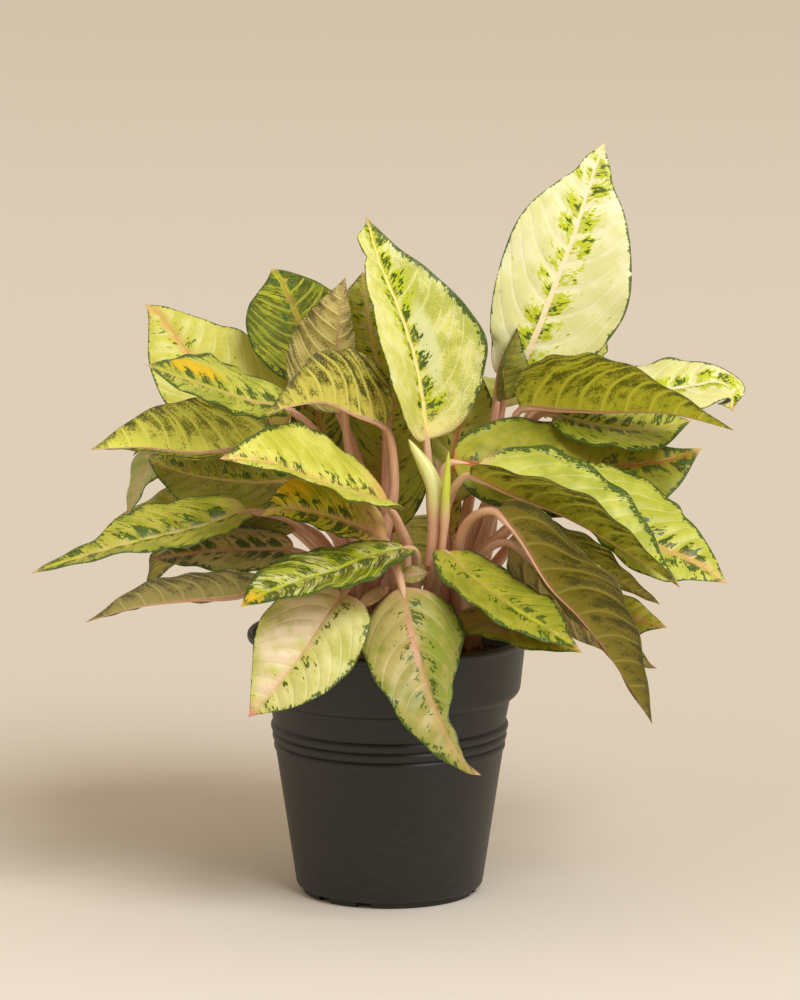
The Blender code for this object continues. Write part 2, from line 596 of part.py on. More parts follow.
def build_shoot(key, parts, finish):
    """A cane and the stalks that grow from it, joined into one body."""
    centre = SHOOTS[key]
    cane = cylinder("shoot_" + key, CANE_RADIUS, (CANE_FOOT, CANE_TOP), centre, CANE_SIDES, parts)
    cane.data.materials.append(finish)
    stalks = collection_in("stalks_" + key, bpy.context.scene.collection)
    for leaf in LEAVES:
        if leaf.shoot == key:
            build_stalk(leaf, stalks)
    for name, shoot, stub, _, radius in SPEARS:
        if shoot == key:
            path = smooth_path(((*centre, STALK_ROOT), *stub))
            tube("stub_" + name, path, [radius] * len(path), stalks)
    join = cane.modifiers.new("stalks", "BOOLEAN")
    join.operation = "UNION"
    join.solver = "MANIFOLD"
    join.operand_type = "COLLECTION"
    join.collection = stalks
    bpy.context.view_layer.update()
    graph = bpy.context.evaluated_depsgraph_get()
    joined = bpy.data.meshes.new_from_object(cane.evaluated_get(graph))
    cane.modifiers.clear()
    cane.data = joined
    joined.shade_smooth()
    for stalk in list(stalks.objects):
        bpy.data.objects.remove(stalk)
    bpy.data.collections.remove(stalks)


def main():
    for old in list(bpy.data.objects):
        bpy.data.objects.remove(old)
    parts = collection_in("potted_chinese_evergreen", bpy.context.scene.collection)
    cutters = collection_in("cutters", bpy.context.scene.collection)
    green = material("leaf_blade", (0.45, 0.60, 0.16), 0.45)
    pale = material("young_leaf", (0.60, 0.68, 0.22), 0.45)
    pink = material("leaf_stalk", (0.52, 0.30, 0.22), 0.5)
    for key in SHOOTS:
        build_shoot(key, parts, pink)
    for leaf in LEAVES:
        build_blade(leaf, parts, green)
    for name, _, _, points, radius in SPEARS:
        build_spear(name, points, radius, parts, pale)
    build_soil(parts, cutters)
    build_pot(parts, cutters)


main()
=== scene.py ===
"""Looks for the potted chinese evergreen: finer leaves, stalks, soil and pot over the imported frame."""

import math
from dataclasses import dataclass, replace
from functools import partialmethod

import bmesh
import bpy
import numpy as np
from mathutils import Matrix, Vector
from mathutils.geometry import interpolate_bezier


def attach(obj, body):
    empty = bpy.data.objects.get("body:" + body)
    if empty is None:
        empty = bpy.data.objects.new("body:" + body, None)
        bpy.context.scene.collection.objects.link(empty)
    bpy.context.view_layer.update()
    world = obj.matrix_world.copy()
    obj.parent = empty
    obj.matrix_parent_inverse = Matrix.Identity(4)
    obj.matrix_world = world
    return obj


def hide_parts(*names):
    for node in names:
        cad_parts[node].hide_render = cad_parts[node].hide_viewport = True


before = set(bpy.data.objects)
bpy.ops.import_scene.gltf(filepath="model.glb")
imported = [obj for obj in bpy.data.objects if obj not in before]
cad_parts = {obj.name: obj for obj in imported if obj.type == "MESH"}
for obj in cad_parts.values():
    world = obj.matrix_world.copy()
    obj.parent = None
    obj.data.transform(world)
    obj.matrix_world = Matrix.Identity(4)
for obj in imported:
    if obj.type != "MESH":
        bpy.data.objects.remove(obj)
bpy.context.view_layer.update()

MM = 0.001

# Camera: metres and degrees. The lens is for the default 36 mm sensor.
CAMERA_PLACE = (0.0077, -4.5, 1.115)
CAMERA_PITCH = 10.35
CAMERA_LENS = 224.06

# Light: the world and one soft sun, whose spread is in degrees
WORLD_COLOUR = (1.0, 0.85, 0.66)
WORLD_STRENGTH = 0.59
SUN_ENERGY = 2.12
SUN_SPREAD = 34
SUN_COLOUR = (0.965, 0.985, 1.0)
SUN_WAY = (-0.4, 0.57, -0.72)

# Shoots: where each cane stands, in millimetres.
SHOOTS = {"a": (-22, -6), "b": (20, -20), "c": (56, -6), "d": (-8, 30), "e": (42, 28)}
CANE_RADIUS = 12.0
CANE_FOOT = 120.0
CANE_TOP = 198.0
CANE_WAIST = 0.07
CANE_SIDES = 24
STALK_ROOT = 184.0
STALK_SPREAD = 6.0
STALK_RADII = (6.2, 2.9)
CANE_RINGS = 30
STALK_RINGS = 34
STALK_SIDES = 16

# Blades
PATH_STEPS = 20
BLADE_ROWS = 72
HALF_COLUMNS = (0.0, 0.025, 0.055, 0.1, 0.17, 0.26, 0.36, 0.46, 0.56, 0.66, 0.76, 0.85, 0.92, 0.97, 1.0)
BASE_BREADTH = 0.07
TIP_DRAW = 1.1
TIP_SHARP = 1.15
HALVES_OFFSET = 0.35
# How far a half bends on towards its margin, in degrees
CURL = -15
BLADE_THICKNESS = 0.5


@dataclass
class Leaf:
    """A blade on its stalk, with the same values as its solid.

    stalk holds the points between the cane and the blade, and spine runs from the blade's base to its tip.
    face says which way the upper side looks at the base and at the tip. fold lifts the left and right
    halves off flat, in degrees, as seen from the base towards the tip. halves are their greatest widths,
    and belly the shares of the length where these are reached. wave is the height of the margin's waves
    and their number. A value given alone is for both halves or, as a face, for both ends.
    """

    name: str
    shoot: str
    stalk: tuple
    spine: tuple
    halves: tuple
    face: tuple
    fold: tuple = (12, 12)
    wave: tuple = (2.0, 1.8)
    belly: tuple = (0.42, 0.42)


LEAVES = (
    # Upright leaves at the top of the crown
    Leaf("leaf_top_1", "b", ((31, -4, 248), (30, 2, 293)), ((27, 5, 337), (19, 2, 393), (8, 2, 430),
        (-8, 12, 469), (-17, 24, 500)), (52, 48), ((0.5, -0.85, 0.1), (0.3, -0.9, 0.3)), (50, 28),
        belly=(0.35, 0.32)),
    Leaf("leaf_top_2", "e", ((72, 32, 250), (78, 46, 305), (82, 50, 348)), ((88, 46, 374), (103, 44, 398),
        (120, 44, 441), (136, 50, 483), (150, 64, 525), (159, 76, 548)), (46, 51), ((0.1, -0.95, 0.1),
        (-0.1, -0.9, 0.3)), (24, 8), belly=(0.5, 0.4)),
    Leaf("leaf_top_3", "d", ((-6, 34, 250), (-24, 38, 317)), ((-47, 45, 375), (-65, 60, 412), (-79, 85, 440),
        (-88, 98, 451)), 42, ((0.2, -0.9, 0.4), (0.2, -0.8, 0.5))),
    Leaf("leaf_top_4", "a", ((-18, -2, 250), (-28, 2, 315)), ((-33, 0, 358), (-38, -8, 402), (-36, -14, 434),
        (-32, -16, 461)), (15, 39), ((0.1, 0.9, -0.1), (0.1, 0.9, 0)), belly=0.3),
    Leaf("leaf_top_5", "d", ((-4, 28, 250), (-2, 28, 319)), ((-3, 30, 363), (-13, 34, 407), (-20, 48, 456)),
        40, (0.2, -0.9, 0.3)),
    Leaf("leaf_top_6", "a", ((-8, -14, 251), (3, -16, 300), (2, -18, 335)), ((-3, -20, 350), (-25, -40, 363),
        (-47, -62, 376), (-71, -85, 377), (-89, -95, 373)), (45, 36), ((-0.5, 0.6, 0.6), (-0.4, 0.6, 0.6)),
        (45, 70), belly=0.33),
    Leaf("leaf_top_7", "c", ((70, 6, 250), (75, 26, 307), (77, 38, 342)), ((79, 37, 362), (82, 32, 390),
        (94, 34, 416)), 24, (0.6, -0.6, 0.3), 62),

    # Right side
    Leaf("leaf_right_1", "c", ((67, 4, 250), (82, 16, 308), (90, 34, 340)), ((97, 34, 355), (126, 20, 357),
        (154, 5, 358), (205, -15, 360), (251, -32, 351)), (28, 57), ((0, 0.75, 0.65), (0.1, 0.2, 0.95)),
        (48, 30), belly=(0.42, 0.4)),
    Leaf("leaf_right_2", "e", ((60, 38, 250), (92, 54, 324), (112, 64, 350)), ((126, 66, 356), (171, 74, 356),
        (224, 84, 364), (251, 91, 364), (257, 94, 343)), 42, ((0, -0.3, 0.95), (0.1, -0.3, 0.95)),
        belly=(0.5, 0.55)),
    Leaf("leaf_right_3", "e", ((66, 28, 250), (100, 48, 335), (112, 46, 350)), ((122, 38, 350),
        (155, 26, 344), (190, 22, 342), (223, 26, 348)), 30, ((0, -0.45, 0.9), (0.1, -0.45, 0.9)),
        belly=0.55),
    Leaf("leaf_right_4", "b", ((34, -6, 247), (35, -6, 290), (39, -6, 314)), ((46, -5, 322), (81, -4, 318),
        (144, 10, 315), (203, 24, 318), (231, 28, 327)), (46, 48), (0, -0.7, 0.7), 8, belly=(0.3, 0.6)),
    Leaf("leaf_right_5", "b", ((36, -18, 252), (38, -21, 275), (43, -28, 298), (51, -37, 314)),
        ((59, -42, 319), (88, -54, 308), (124, -66, 295), (164, -76, 274), (211, -84, 244)), (52, 44),
        ((0.2, 0.1, 0.95), (0.3, 0.1, 0.9)), (58, 38), belly=(0.32, 0.42)),
    Leaf("leaf_right_6", "c", ((62, -10, 244), (86, -31, 276), (106, -39, 294)), ((125, -28, 307),
        (162, -28, 290), (195, -38, 266), (223, -46, 255), (246, -52, 241)), (42, 34), (0.1, -0.6, 0.8),
        belly=(0.42, 0.55)),
    Leaf("leaf_right_7", "c", ((60, -12, 243), (80, -16, 270)), ((96, -18, 280), (125, -26, 266),
        (161, -34, 244), (198, -40, 223)), (30, 32), ((0.2, 0.5, 0.8), (0.3, 0.5, 0.8))),
    Leaf("leaf_right_8", "c", ((50, -24, 231), (50, -36, 262), (56, -50, 284), (67, -64, 296)),
        ((78, -72, 297), (94, -82, 281), (116, -94, 247), (137, -101, 226), (158, -107, 200),
        (190, -114, 150)), 43, ((0.7, 0.5, 0.5), (0.8, 0.5, 0.3)), (30, 35)),
    Leaf("leaf_right_9", "c", ((54, -16, 226), (61, -25, 250), (76, -35, 266)), ((88, -40, 268),
        (100, -44, 259), (118, -49, 242), (150, -56, 213), (187, -62, 183), (195, -64, 180)), 28,
        ((0.2, 0.9, 0.2), (0.3, 0.9, 0.3)), belly=0.3),
    Leaf("leaf_right_10", "b", ((31, -34, 236),), ((40, -52, 264), (58, -75, 252), (87, -105, 235),
        (115, -125, 221), (137, -132, 208)), 34, ((0.3, -0.3, 0.9), (0.3, -0.4, 0.8)), belly=0.5),
    Leaf("leaf_right_11", "c", ((70, 4, 218), (92, 5, 224)), ((115, 5, 217), (156, 10, 203), (185, 10, 200),
        (205, 8, 196)), (35, 32), ((0, -0.4, 0.9), (0.1, -0.4, 0.9))),
    Leaf("leaf_right_12", "b", ((37, -32, 212),), ((48, -48, 217), (75, -78, 216), (105, -104, 212),
        (139, -118, 203)), (30, 25), ((0.1, -0.45, 0.9), (0.2, -0.45, 0.9))),

    # Front
    Leaf("leaf_front_1", "b", ((4, -26, 236), (0, -45, 256), (4, -66, 259)), ((9, -90, 246), (17, -124, 217),
        (28, -143, 180), (40, -149, 152), (56, -149, 126), (66, -146, 119)), (46, 38), ((0, -0.9, 0.5),
        (1.0, -0.35, 0.05)), (-12, -20), belly=(0.22, 0.24)),
    Leaf("leaf_front_2", "a", ((-20, -30, 236), (-24, -60, 250)), ((-33, -84, 240), (-47, -108, 225),
        (-73, -130, 191), (-101, -138, 160)), 38, ((-0.1, -0.9, 0.5), (-0.3, -0.95, 0.2)), (12, 22)),
    Leaf("leaf_front_3", "b", ((19, -34, 240), (19, -48, 262)), ((13, -58, 268), (-13, -80, 267),
        (-39, -100, 260), (-64, -118, 256), (-91, -138, 249), (-106, -148, 243)), (38, 30),
        ((-0.1, -0.3, 0.95), (-0.2, -0.4, 0.9)), 16, belly=(0.58, 0.66)),
    Leaf("leaf_front_4", "b", ((14, -22, 258), (8, -32, 278)), ((-1, -45, 296), (-28, -70, 312),
        (-57, -92, 325), (-89, -115, 341), (-121, -130, 347)), 50, (-0.1, -0.5, 0.85), 28),
    Leaf("leaf_front_5", "a", ((-10, -18, 236), (0, -26, 256)), ((-3, -36, 270), (-21, -50, 282),
        (-47, -68, 294), (-75, -84, 302), (-92, -90, 298)), (16, 38), (-0.1, -0.7, 0.7), belly=(0.6, 0.5)),

    # Left side
    Leaf("leaf_left_1", "d", ((-18, 32, 248), (-45, 33, 311)), ((-79, 38, 337), (-115, 50, 363),
        (-147, 66, 389), (-171, 80, 417), (-182, 86, 426)), 42, ((0.3, -0.9, 0.3), (0.2, -0.9, 0.4))),
    Leaf("leaf_left_2", "a", ((-24, -2, 250), (-44, -4, 330)), ((-72, -8, 361), (-102, -25, 371),
        (-130, -45, 384), (-155, -62, 396), (-175, -75, 406)), (28, 35), (0, -0.4, 0.9), (5, 25),
        belly=(0.68, 0.42)),
    Leaf("leaf_left_3", "a", ((-30, -4, 241), (-56, -9, 308)), ((-89, -15, 336), (-113, -22, 335),
        (-142, -32, 334), (-181, -44, 340), (-217, -52, 340)), (45, 36), ((0, 0.97, 0.2), (0, 0.9, 0.4)),
        (15, 62), belly=0.35),
    Leaf("leaf_left_4", "d", ((-22, 28, 232), (-43, 20, 278)), ((-66, 14, 302), (-103, 18, 303),
        (-136, 22, 306), (-158, 25, 311), (-181, 26, 322)), 40, (-0.1, -0.6, 0.8)),
    Leaf("leaf_left_5", "d", ((-22, 38, 235), (-66, 52, 300)), ((-115, 66, 306), (-148, 70, 312),
        (-178, 70, 306), (-190, 68, 286), (-196, 66, 266)), 35, ((0, -0.2, 0.95), (-0.8, -0.3, 0.3)), 10),
    Leaf("leaf_left_6", "a", ((-32, -8, 231), (-66, -14, 277)), ((-103, -32, 290), (-138, -50, 282),
        (-177, -68, 276), (-209, -82, 270), (-258, -95, 257)), (42, 33), (-0.1, -0.35, 0.93), 25,
        belly=(0.3, 0.28)),
    Leaf("leaf_left_7", "a", ((-30, 2, 229), (-50, 8, 263)), ((-66, 12, 272), (-84, 16, 279), (-112, 22, 281),
        (-148, 26, 274)), 30, (0, -0.6, 0.8)),
    Leaf("leaf_left_8", "a", ((-30, -16, 222), (-50, -24, 250)), ((-70, -26, 260), (-96, -28, 261),
        (-124, -32, 261), (-158, -36, 258), (-173, -38, 256)), 31, (0, -0.4, 0.9)),
    Leaf("leaf_left_9", "a", ((-36, -24, 224), (-62, -40, 240)), ((-93, -52, 240), (-110, -60, 233),
        (-145, -75, 233), (-184, -92, 231), (-219, -105, 223)), (29, 28), (0, 0.6, 0.75), 30, belly=0.35),
    Leaf("leaf_left_10", "d", ((-22, 40, 228), (-52, 58, 268)), ((-89, 74, 279), (-141, 78, 281),
        (-174, 78, 273), (-207, 78, 264)), 28, ((0, -0.3, 0.95), (-0.2, -0.3, 0.9))),

    # Back, out of the front view
    Leaf("leaf_back_1", "d", ((-30, 60, 250), (-70, 84, 310)), ((-92, 96, 330), (-130, 118, 338),
        (-165, 136, 325), (-195, 150, 300)), 45, ((-0.2, 0.1, 0.95), (-0.6, 0.4, 0.6))),
    Leaf("leaf_back_2", "d", ((-14, 70, 262), (-30, 104, 330)), ((-38, 120, 352), (-52, 150, 362),
        (-68, 182, 350), (-82, 208, 322)), 46, ((0, 0.2, 0.95), (-0.2, 0.7, 0.6))),
    Leaf("leaf_back_3", "e", ((38, 56, 280), (30, 76, 330)), ((26, 84, 352), (20, 100, 378), (10, 126, 396),
        (2, 158, 400)), 44, ((0, -0.6, 0.8), (0, 0.1, 0.95))),
    Leaf("leaf_back_4", "e", ((56, 70, 262), (70, 108, 322)), ((78, 124, 340), (92, 156, 352),
        (106, 186, 344), (120, 212, 318)), 45, ((0, 0.2, 0.95), (0.4, 0.6, 0.6))),
    Leaf("leaf_back_5", "e", ((76, 64, 270), (104, 104, 338)), ((114, 116, 351), (126, 130, 366),
        (142, 148, 382), (160, 168, 392)), 38, ((-0.3, -0.5, 0.8), (-0.2, 0, 0.95))),
    Leaf("leaf_back_6", "d", ((-34, 46, 224), (-70, 74, 256)), ((-92, 88, 262), (-128, 104, 254),
        (-160, 118, 232), (-186, 128, 200)), 40, ((-0.2, 0.2, 0.95), (-0.7, 0.4, 0.5))),
    Leaf("leaf_back_7", "e", ((76, 48, 232), (118, 66, 276)), ((138, 74, 284), (176, 88, 274),
        (206, 100, 250), (228, 108, 218)), 42, ((0.2, 0.1, 0.95), (0.7, 0.3, 0.5))),
    Leaf("leaf_back_8", "d", ((-6, 64, 226), (2, 100, 252)), ((6, 118, 256), (12, 148, 246), (16, 174, 220),
        (18, 192, 184)), 42, ((0, 0.3, 0.95), (0.1, 0.9, 0.3))),
    Leaf("leaf_back_9", "e", ((46, 48, 220), (46, 74, 236)), ((45, 80, 250), (44, 82, 272), (43, 80, 296),
        (41, 76, 318)), 10, (-0.1, -0.98, 0), wave=(1.0, 1.5)),

    # Papery bracts at the foot of the stalks
    Leaf("bract_1", "b", ((8, -34, 222), (6, -54, 238)), ((9, -66, 249), (17, -70, 251), (29, -68, 252)), 7,
        (0, -0.8, 0.6), wave=(0.5, 1.0)),
    Leaf("bract_2", "a", ((-14, -26, 220), (-6, -48, 232)), ((-3, -58, 238), (-12, -68, 234),
        (-24, -78, 227)), 6, (-0.1, -0.7, 0.7), wave=(0.5, 1.0)),
)


# Behind the stalks, where the solids leave gaps in the crown
INNER_LEAVES = (
    Leaf("leaf_inner_1", "d", ((-8, 44, 236),), ((-8, 50, 258), (-6, 54, 295), (-2, 60, 335), (5, 66, 388)),
        36, ((0, -0.98, 0.1), (0, -0.95, 0.2))),
    Leaf("leaf_inner_2", "d", ((-34, 50, 240),), ((-44, 58, 266), (-48, 62, 300), (-52, 66, 335),
        (-57, 74, 378)), (28, 30), ((0.1, -0.98, 0.1), (0, -0.95, 0.2))),
    Leaf("leaf_inner_3", "e", ((34, 54, 250),), ((40, 60, 280), (46, 66, 310), (54, 72, 345), (62, 80, 388)),
        30, ((-0.1, -0.98, 0.1), (0, -0.95, 0.2))),
)


@dataclass
class Look:
    """How a blade is coloured. Colours are sRGB out of 255, and the rest are amounts, mostly 0 to 1.

    An amount that is a pair is for the left and the right half, seen from above with the tip ahead.
    """

    lime: tuple = (218, 217, 104)
    deep: tuple = (200, 201, 74)
    rib: tuple = (228, 196, 140)
    tip: tuple = (214, 184, 122)
    wash: tuple = (230, 208, 176)
    splash: float = 0.7
    halo_amount: float = 0.6
    fields: float = 0.0
    edge: float = 0.6
    margin: float = 0.7
    mottle: float = 0.5
    # Pale silvery patches: partly the leaf's own silver marking, partly painted sheen
    frost: float = 0.0
    veins: float = 0.5
    fuzz: float = 0.3
    tip_reach: float = 0.025
    root_reach: float = 0.08
    rib_width: float = 0.8
    field_grain: tuple = (2.4, 11.0)
    field_share: float = 0.75
    wash_amount: float = 0.0
    roughness: float = 0.35
    # A coloured patch: its place and radii, each as a share of the length and mm from the midrib
    patch: tuple = (224, 190, 36)
    patch_at: tuple = ()
    under: tuple = (188, 184, 76)
    under_dark: tuple = (62, 70, 18)
    under_rib: tuple = (214, 174, 134)
    under_amount: float = 0.9

    def __call__(self, *tones, **changes):
        """The same look with its own lime and deep tones and other changes."""
        return replace(self, **dict(zip(("lime", "deep"), tones)), **changes)


LIME = Look(mottle=0.4, frost=0.25)
PALE = Look((246, 243, 176), (237, 235, 152), rib=(255, 238, 204), splash=0.85, halo_amount=1.0, edge=0.4,
    mottle=0.1, frost=0.35, veins=0.55, rib_width=1.25)
GOLD = Look((222, 219, 100), (208, 207, 74), rib=(226, 168, 112), splash=0.85, halo_amount=0.45, edge=0.8,
    mottle=0.2, veins=0.3, fuzz=0.6)
SPECKLED = Look((202, 203, 84), (174, 179, 52), rib=(210, 182, 112), splash=1.2, edge=1.1, margin=1.0,
    veins=0.35, fields=0.35)
SHADED = Look((174, 171, 52), (148, 145, 30), rib=(204, 126, 88), halo_amount=0.3, edge=0.9, margin=0.9,
    veins=0.2, fuzz=0.5)
PINKISH = Look((204, 205, 120), (184, 187, 94), rib=(214, 162, 136), splash=0.3, halo_amount=0.15, margin=0.8,
    frost=0.1, wash=(228, 204, 172), wash_amount=0.5, tip=(206, 138, 116), tip_reach=0.045,
    under=(200, 182, 114), under_dark=(132, 118, 76))
BRACT = Look((202, 173, 114), (186, 155, 98), rib=(200, 160, 130), splash=0.0, halo_amount=0.0, edge=0.0,
    margin=0.1, mottle=0.2, veins=0.2, tip=(190, 140, 100), tip_reach=0.1, under=(204, 174, 122),
    under_dark=(160, 130, 96), under_amount=0.3)

LOOKS = {
    "leaf_inner_1": SHADED(fields=0.6),
    "leaf_inner_2": SHADED(fields=0.6, splash=1.3, edge=1.4),
    "leaf_inner_3": SHADED((196, 190, 84), (170, 166, 58), edge=1.3),
    "bract_1": BRACT((172, 159, 86), (156, 141, 70)),
    "bract_2": BRACT,
    "leaf_top_1": Look((234, 232, 138), (216, 215, 106), rib=(252, 238, 164), splash=1.1, halo_amount=1.0,
        edge=(0.3, 1.1), margin=(0.5, 1.9), mottle=(0.15, 0.7), frost=0.4, veins=0.6, root_reach=0.16,
        rib_width=1.2, patch=(230, 234, 178), patch_at=(0.4, -13.0, 0.2, 8.0)),
    "leaf_top_2": PALE((241, 240, 190), (230, 230, 164), splash=0.95, edge=(0.6, 0.7), margin=(0.6, 0.9),
        tip=(238, 222, 166)),
    "leaf_top_3": SPECKLED((184, 184, 44), (138, 142, 14), rib=(178, 140, 80), fields=1.65, veins=0.5,
        roughness=0.7),
    "leaf_top_4": PINKISH(under=(216, 200, 124), under_dark=(150, 136, 76)),
    "leaf_top_5": LIME((192, 187, 66), (166, 161, 42)),
    "leaf_top_6": LIME(under=(206, 196, 88), under_dark=(60, 60, 12), under_rib=(220, 184, 146)),
    "leaf_top_7": SHADED((158, 152, 74), (134, 130, 52), rib=(150, 122, 74), splash=0.3, veins=0.1,
        tip=(112, 100, 44), under=(132, 126, 54), under_dark=(82, 80, 34), under_rib=(150, 126, 76)),
    # A brighter underside: painted light on a side that faces away from the sun
    "leaf_right_1": PALE(under=(208, 208, 66), under_dark=(90, 96, 30)),
    "leaf_right_2": PALE(edge=(1.0, 0.5), margin=(1.4, 0.6), splash=0.9, frost=0.1),
    "leaf_right_3": SPECKLED((198, 199, 82), margin=(1.0, 1.8)),
    "leaf_right_4": SHADED(rib=(188, 98, 58), margin=(2.2, 1.3), edge=1.45, splash=1.3, fuzz=0.3,
        root_reach=0.03, rib_width=0.9, roughness=0.5),
    "leaf_right_5": Look((204, 207, 96), (178, 183, 66), splash=0.6, edge=(1.6, 0.8), margin=(3.2, 0.8),
        mottle=0.3, veins=0.4, under=(178, 178, 54), under_dark=(58, 64, 14), under_rib=(206, 164, 84)),
    "leaf_right_6": GOLD((206, 209, 88), (188, 191, 62), splash=1.35, edge=(1.1, 0.9), margin=(1.4, 0.8)),
    "leaf_right_7": SHADED(margin=1.4),
    "leaf_right_8": LIME(under=(136, 125, 40), under_dark=(76, 72, 24), under_rib=(170, 134, 84)),
    "leaf_right_9": PINKISH(under=(160, 144, 74), under_dark=(92, 80, 46)),
    "leaf_right_10": SPECKLED((176, 173, 58), (152, 150, 38), rib=(196, 174, 88), splash=1.15, edge=1.2,
        margin=(1.4, 1.6), fields=0.0, rib_width=0.5),
    "leaf_right_11": GOLD((184, 175, 58), (162, 153, 36), rib=(214, 150, 96)),
    "leaf_right_12": SHADED((178, 156, 44), (142, 124, 28), rib=(170, 146, 60)),
    "leaf_front_1": Look((168, 163, 82), (146, 145, 60), rib=(200, 152, 118), splash=(1.1, 0.8),
        halo_amount=0.2, edge=(1.6, 1.2), margin=(2.2, 1.0), mottle=(1.35, 0.35), veins=0.45, fuzz=0.4,
        rib_width=0.6, wash=(214, 186, 132), wash_amount=(0.0, 0.35), patch=(200, 150, 112),
        patch_at=(0.3, -1.0, 0.16, 3.5), tip=(206, 170, 118), tip_reach=0.03),
    "leaf_front_2": PINKISH((220, 216, 134), (204, 202, 104), splash=(1.1, 0.4), edge=(1.1, 0.6),
        margin=(0.7, 0.4), wash=(236, 216, 182), wash_amount=(0.1, 1.0), veins=0.4, fuzz=0.35, mottle=0.3,
        rib=(222, 176, 142), rib_width=0.5, root_reach=0.16),
    "leaf_front_3": SPECKLED((206, 208, 92), (172, 182, 30), fields=1.3, frost=0.4, field_grain=(1.3, 9.0),
        field_share=0.9, veins=0.1, margin=1.8, patch=(232, 190, 36), patch_at=(0.98, 0.0, 0.13, 13.0),
        tip=(228, 186, 60), rib=(160, 158, 56), rib_width=0.4),
    "leaf_front_4": GOLD((228, 225, 108), splash=1.2, edge=(1.0, 1.45), margin=(0.9, 1.1), root_reach=0.16),
    "leaf_front_5": GOLD((226, 216, 64), (202, 196, 34), fields=0.5, splash=1.5, patch=(252, 204, 36),
        patch_at=(0.84, -20.0, 0.26, 13.0), rib=(226, 178, 138), root_reach=0.4, rib_width=0.7),
    "leaf_left_1": GOLD((222, 219, 112), (212, 208, 88), edge=(0.8, 0.7), splash=0.7),
    "leaf_left_2": SPECKLED(fields=0.6, patch=(230, 190, 30), patch_at=(0.68, -14.0, 0.28, 9.0), margin=1.5),
    # A brighter underside: painted light on a side that faces away from the sun
    "leaf_left_3": LIME(under=(236, 238, 102), under_dark=(96, 108, 30), under_amount=0.8,
        under_rib=(232, 196, 160)),
    # Darker lime and deep tones: painted shade on this blade
    "leaf_left_4": SPECKLED((152, 143, 40), (130, 121, 22), splash=1.0),
    "leaf_left_5": PINKISH((178, 177, 100), (156, 159, 80), wash_amount=0.0),
    "leaf_left_6": SPECKLED((190, 184, 72), (162, 162, 46), splash=1.4, fields=0.4, rib_width=0.6),
    "leaf_left_7": SPECKLED((166, 159, 62), (146, 139, 44)),
    "leaf_left_8": PINKISH((192, 168, 98), (170, 148, 76), splash=1.6, edge=1.3, wash_amount=0.2, fields=0.5),
    "leaf_left_9": LIME(under=(164, 154, 88), under_dark=(88, 82, 50)),
}


# Shader nodes

def tone(colour):
    """An sRGB colour out of 255 as the linear colour that a shader takes."""
    shares = [part / 255 for part in colour]
    linear = [part / 12.92 if part <= 0.04045 else ((part + 0.055) / 1.055) ** 2.4 for part in shares]
    return (*linear, 1.0)


def paler(colour, lift):
    return tuple(min(255, part + more) for part, more in zip(colour, lift))


class Shader:
    """A material's node tree, built by short calls that return sockets. Colours are sRGB out of 255."""

    def __init__(self, name, roughness, specular=0.5):
        self.material = bpy.data.materials.new(name)
        self.material.use_nodes = True
        self.tree = self.material.node_tree
        self.surface = self.tree.nodes["Principled BSDF"].inputs
        self.surface["Roughness"].default_value = roughness
        self.surface["Specular IOR Level"].default_value = specular

    def feed(self, socket, value):
        if isinstance(value, bpy.types.NodeSocket):
            self.tree.links.new(value, socket)
        else:
            socket.default_value = tone(value) if isinstance(value, tuple) else value

    def node(self, kind, *values, named={}, **settings):
        """A new node's outputs, with values for its inputs in order and by name."""
        made = self.tree.nodes.new("ShaderNode" + kind)
        for name, value in settings.items():
            setattr(made, name, value)
        for place, value in (*enumerate(values), *named.items()):
            self.feed(made.inputs[place], value)
        return made.outputs

    def parts(self, attribute):
        """The three numbers of a vector attribute."""
        return self.node("SeparateXYZ", self.node("Attribute", attribute_name=attribute)["Vector"])[:3]

    def math(self, operation, *values):
        return self.node("Math", *values, operation=operation)[0]

    plus = partialmethod(math, "ADD")
    less = partialmethod(math, "SUBTRACT")
    times = partialmethod(math, "MULTIPLY")
    over = partialmethod(math, "DIVIDE")
    gain = partialmethod(math, "MULTIPLY_ADD")

    def step(self, value, low, high):
        """A smooth rise from 0 at low to 1 at high, or a fall where low is above high."""
        ends = (1.0, 0.0) if low > high else (0.0, 1.0)
        return self.node("MapRange", value, min(low, high), max(low, high), *ends,
                         interpolation_type="SMOOTHSTEP")[0]

    def blend(self, first, second, share):
        """A mix of two values, by the first one's share."""
        return self.plus(self.times(first, share), self.times(second, 1 - share))

    def mask(self, value, threshold, soft):
        """Where a value passes a threshold that is itself a socket."""
        return self.step(self.less(value, threshold), 0.0, soft)

    def noise(self, x, y, z, detail=2.0, roughness=0.55):
        place = self.node("CombineXYZ", x, y, z)[0]
        return self.node("TexNoise", named={
            "Vector": place, "Scale": 1.0, "Detail": detail, "Roughness": roughness})[0]

    def cloud(self, size, layer, detail=2.0):
        """Noise through space, alike in every direction, with spots of about a size in millimetres."""
        place = self.node("TexCoord")["Object"]
        return self.node("TexNoise", noise_dimensions="4D", named={
            "Vector": place, "W": layer, "Scale": 1 / (size * MM), "Detail": detail})[0]

    def stretched(self, scales, *rest):
        """Noise through space, with its own scale along each axis."""
        place = self.node("SeparateXYZ", self.node("TexCoord")["Object"])
        return self.noise(*(self.times(part, scale) for part, scale in zip(place, scales)), *rest)

    def mix(self, share, first, second):
        return self.node("Mix", data_type="RGBA", named={0: share, 6: first, 7: second})[2]

    def skin(self, colour, relief=None, depth=0.0, strength=1.0):
        """The finished material, from its colour and a relief as deep as depth, in metres."""
        self.feed(self.surface["Base Color"], colour)
        if relief is not None:
            bump = self.node("Bump", named={"Strength": strength, "Distance": depth, "Height": relief})
            self.feed(self.surface["Normal"], bump[0])
        return self.material


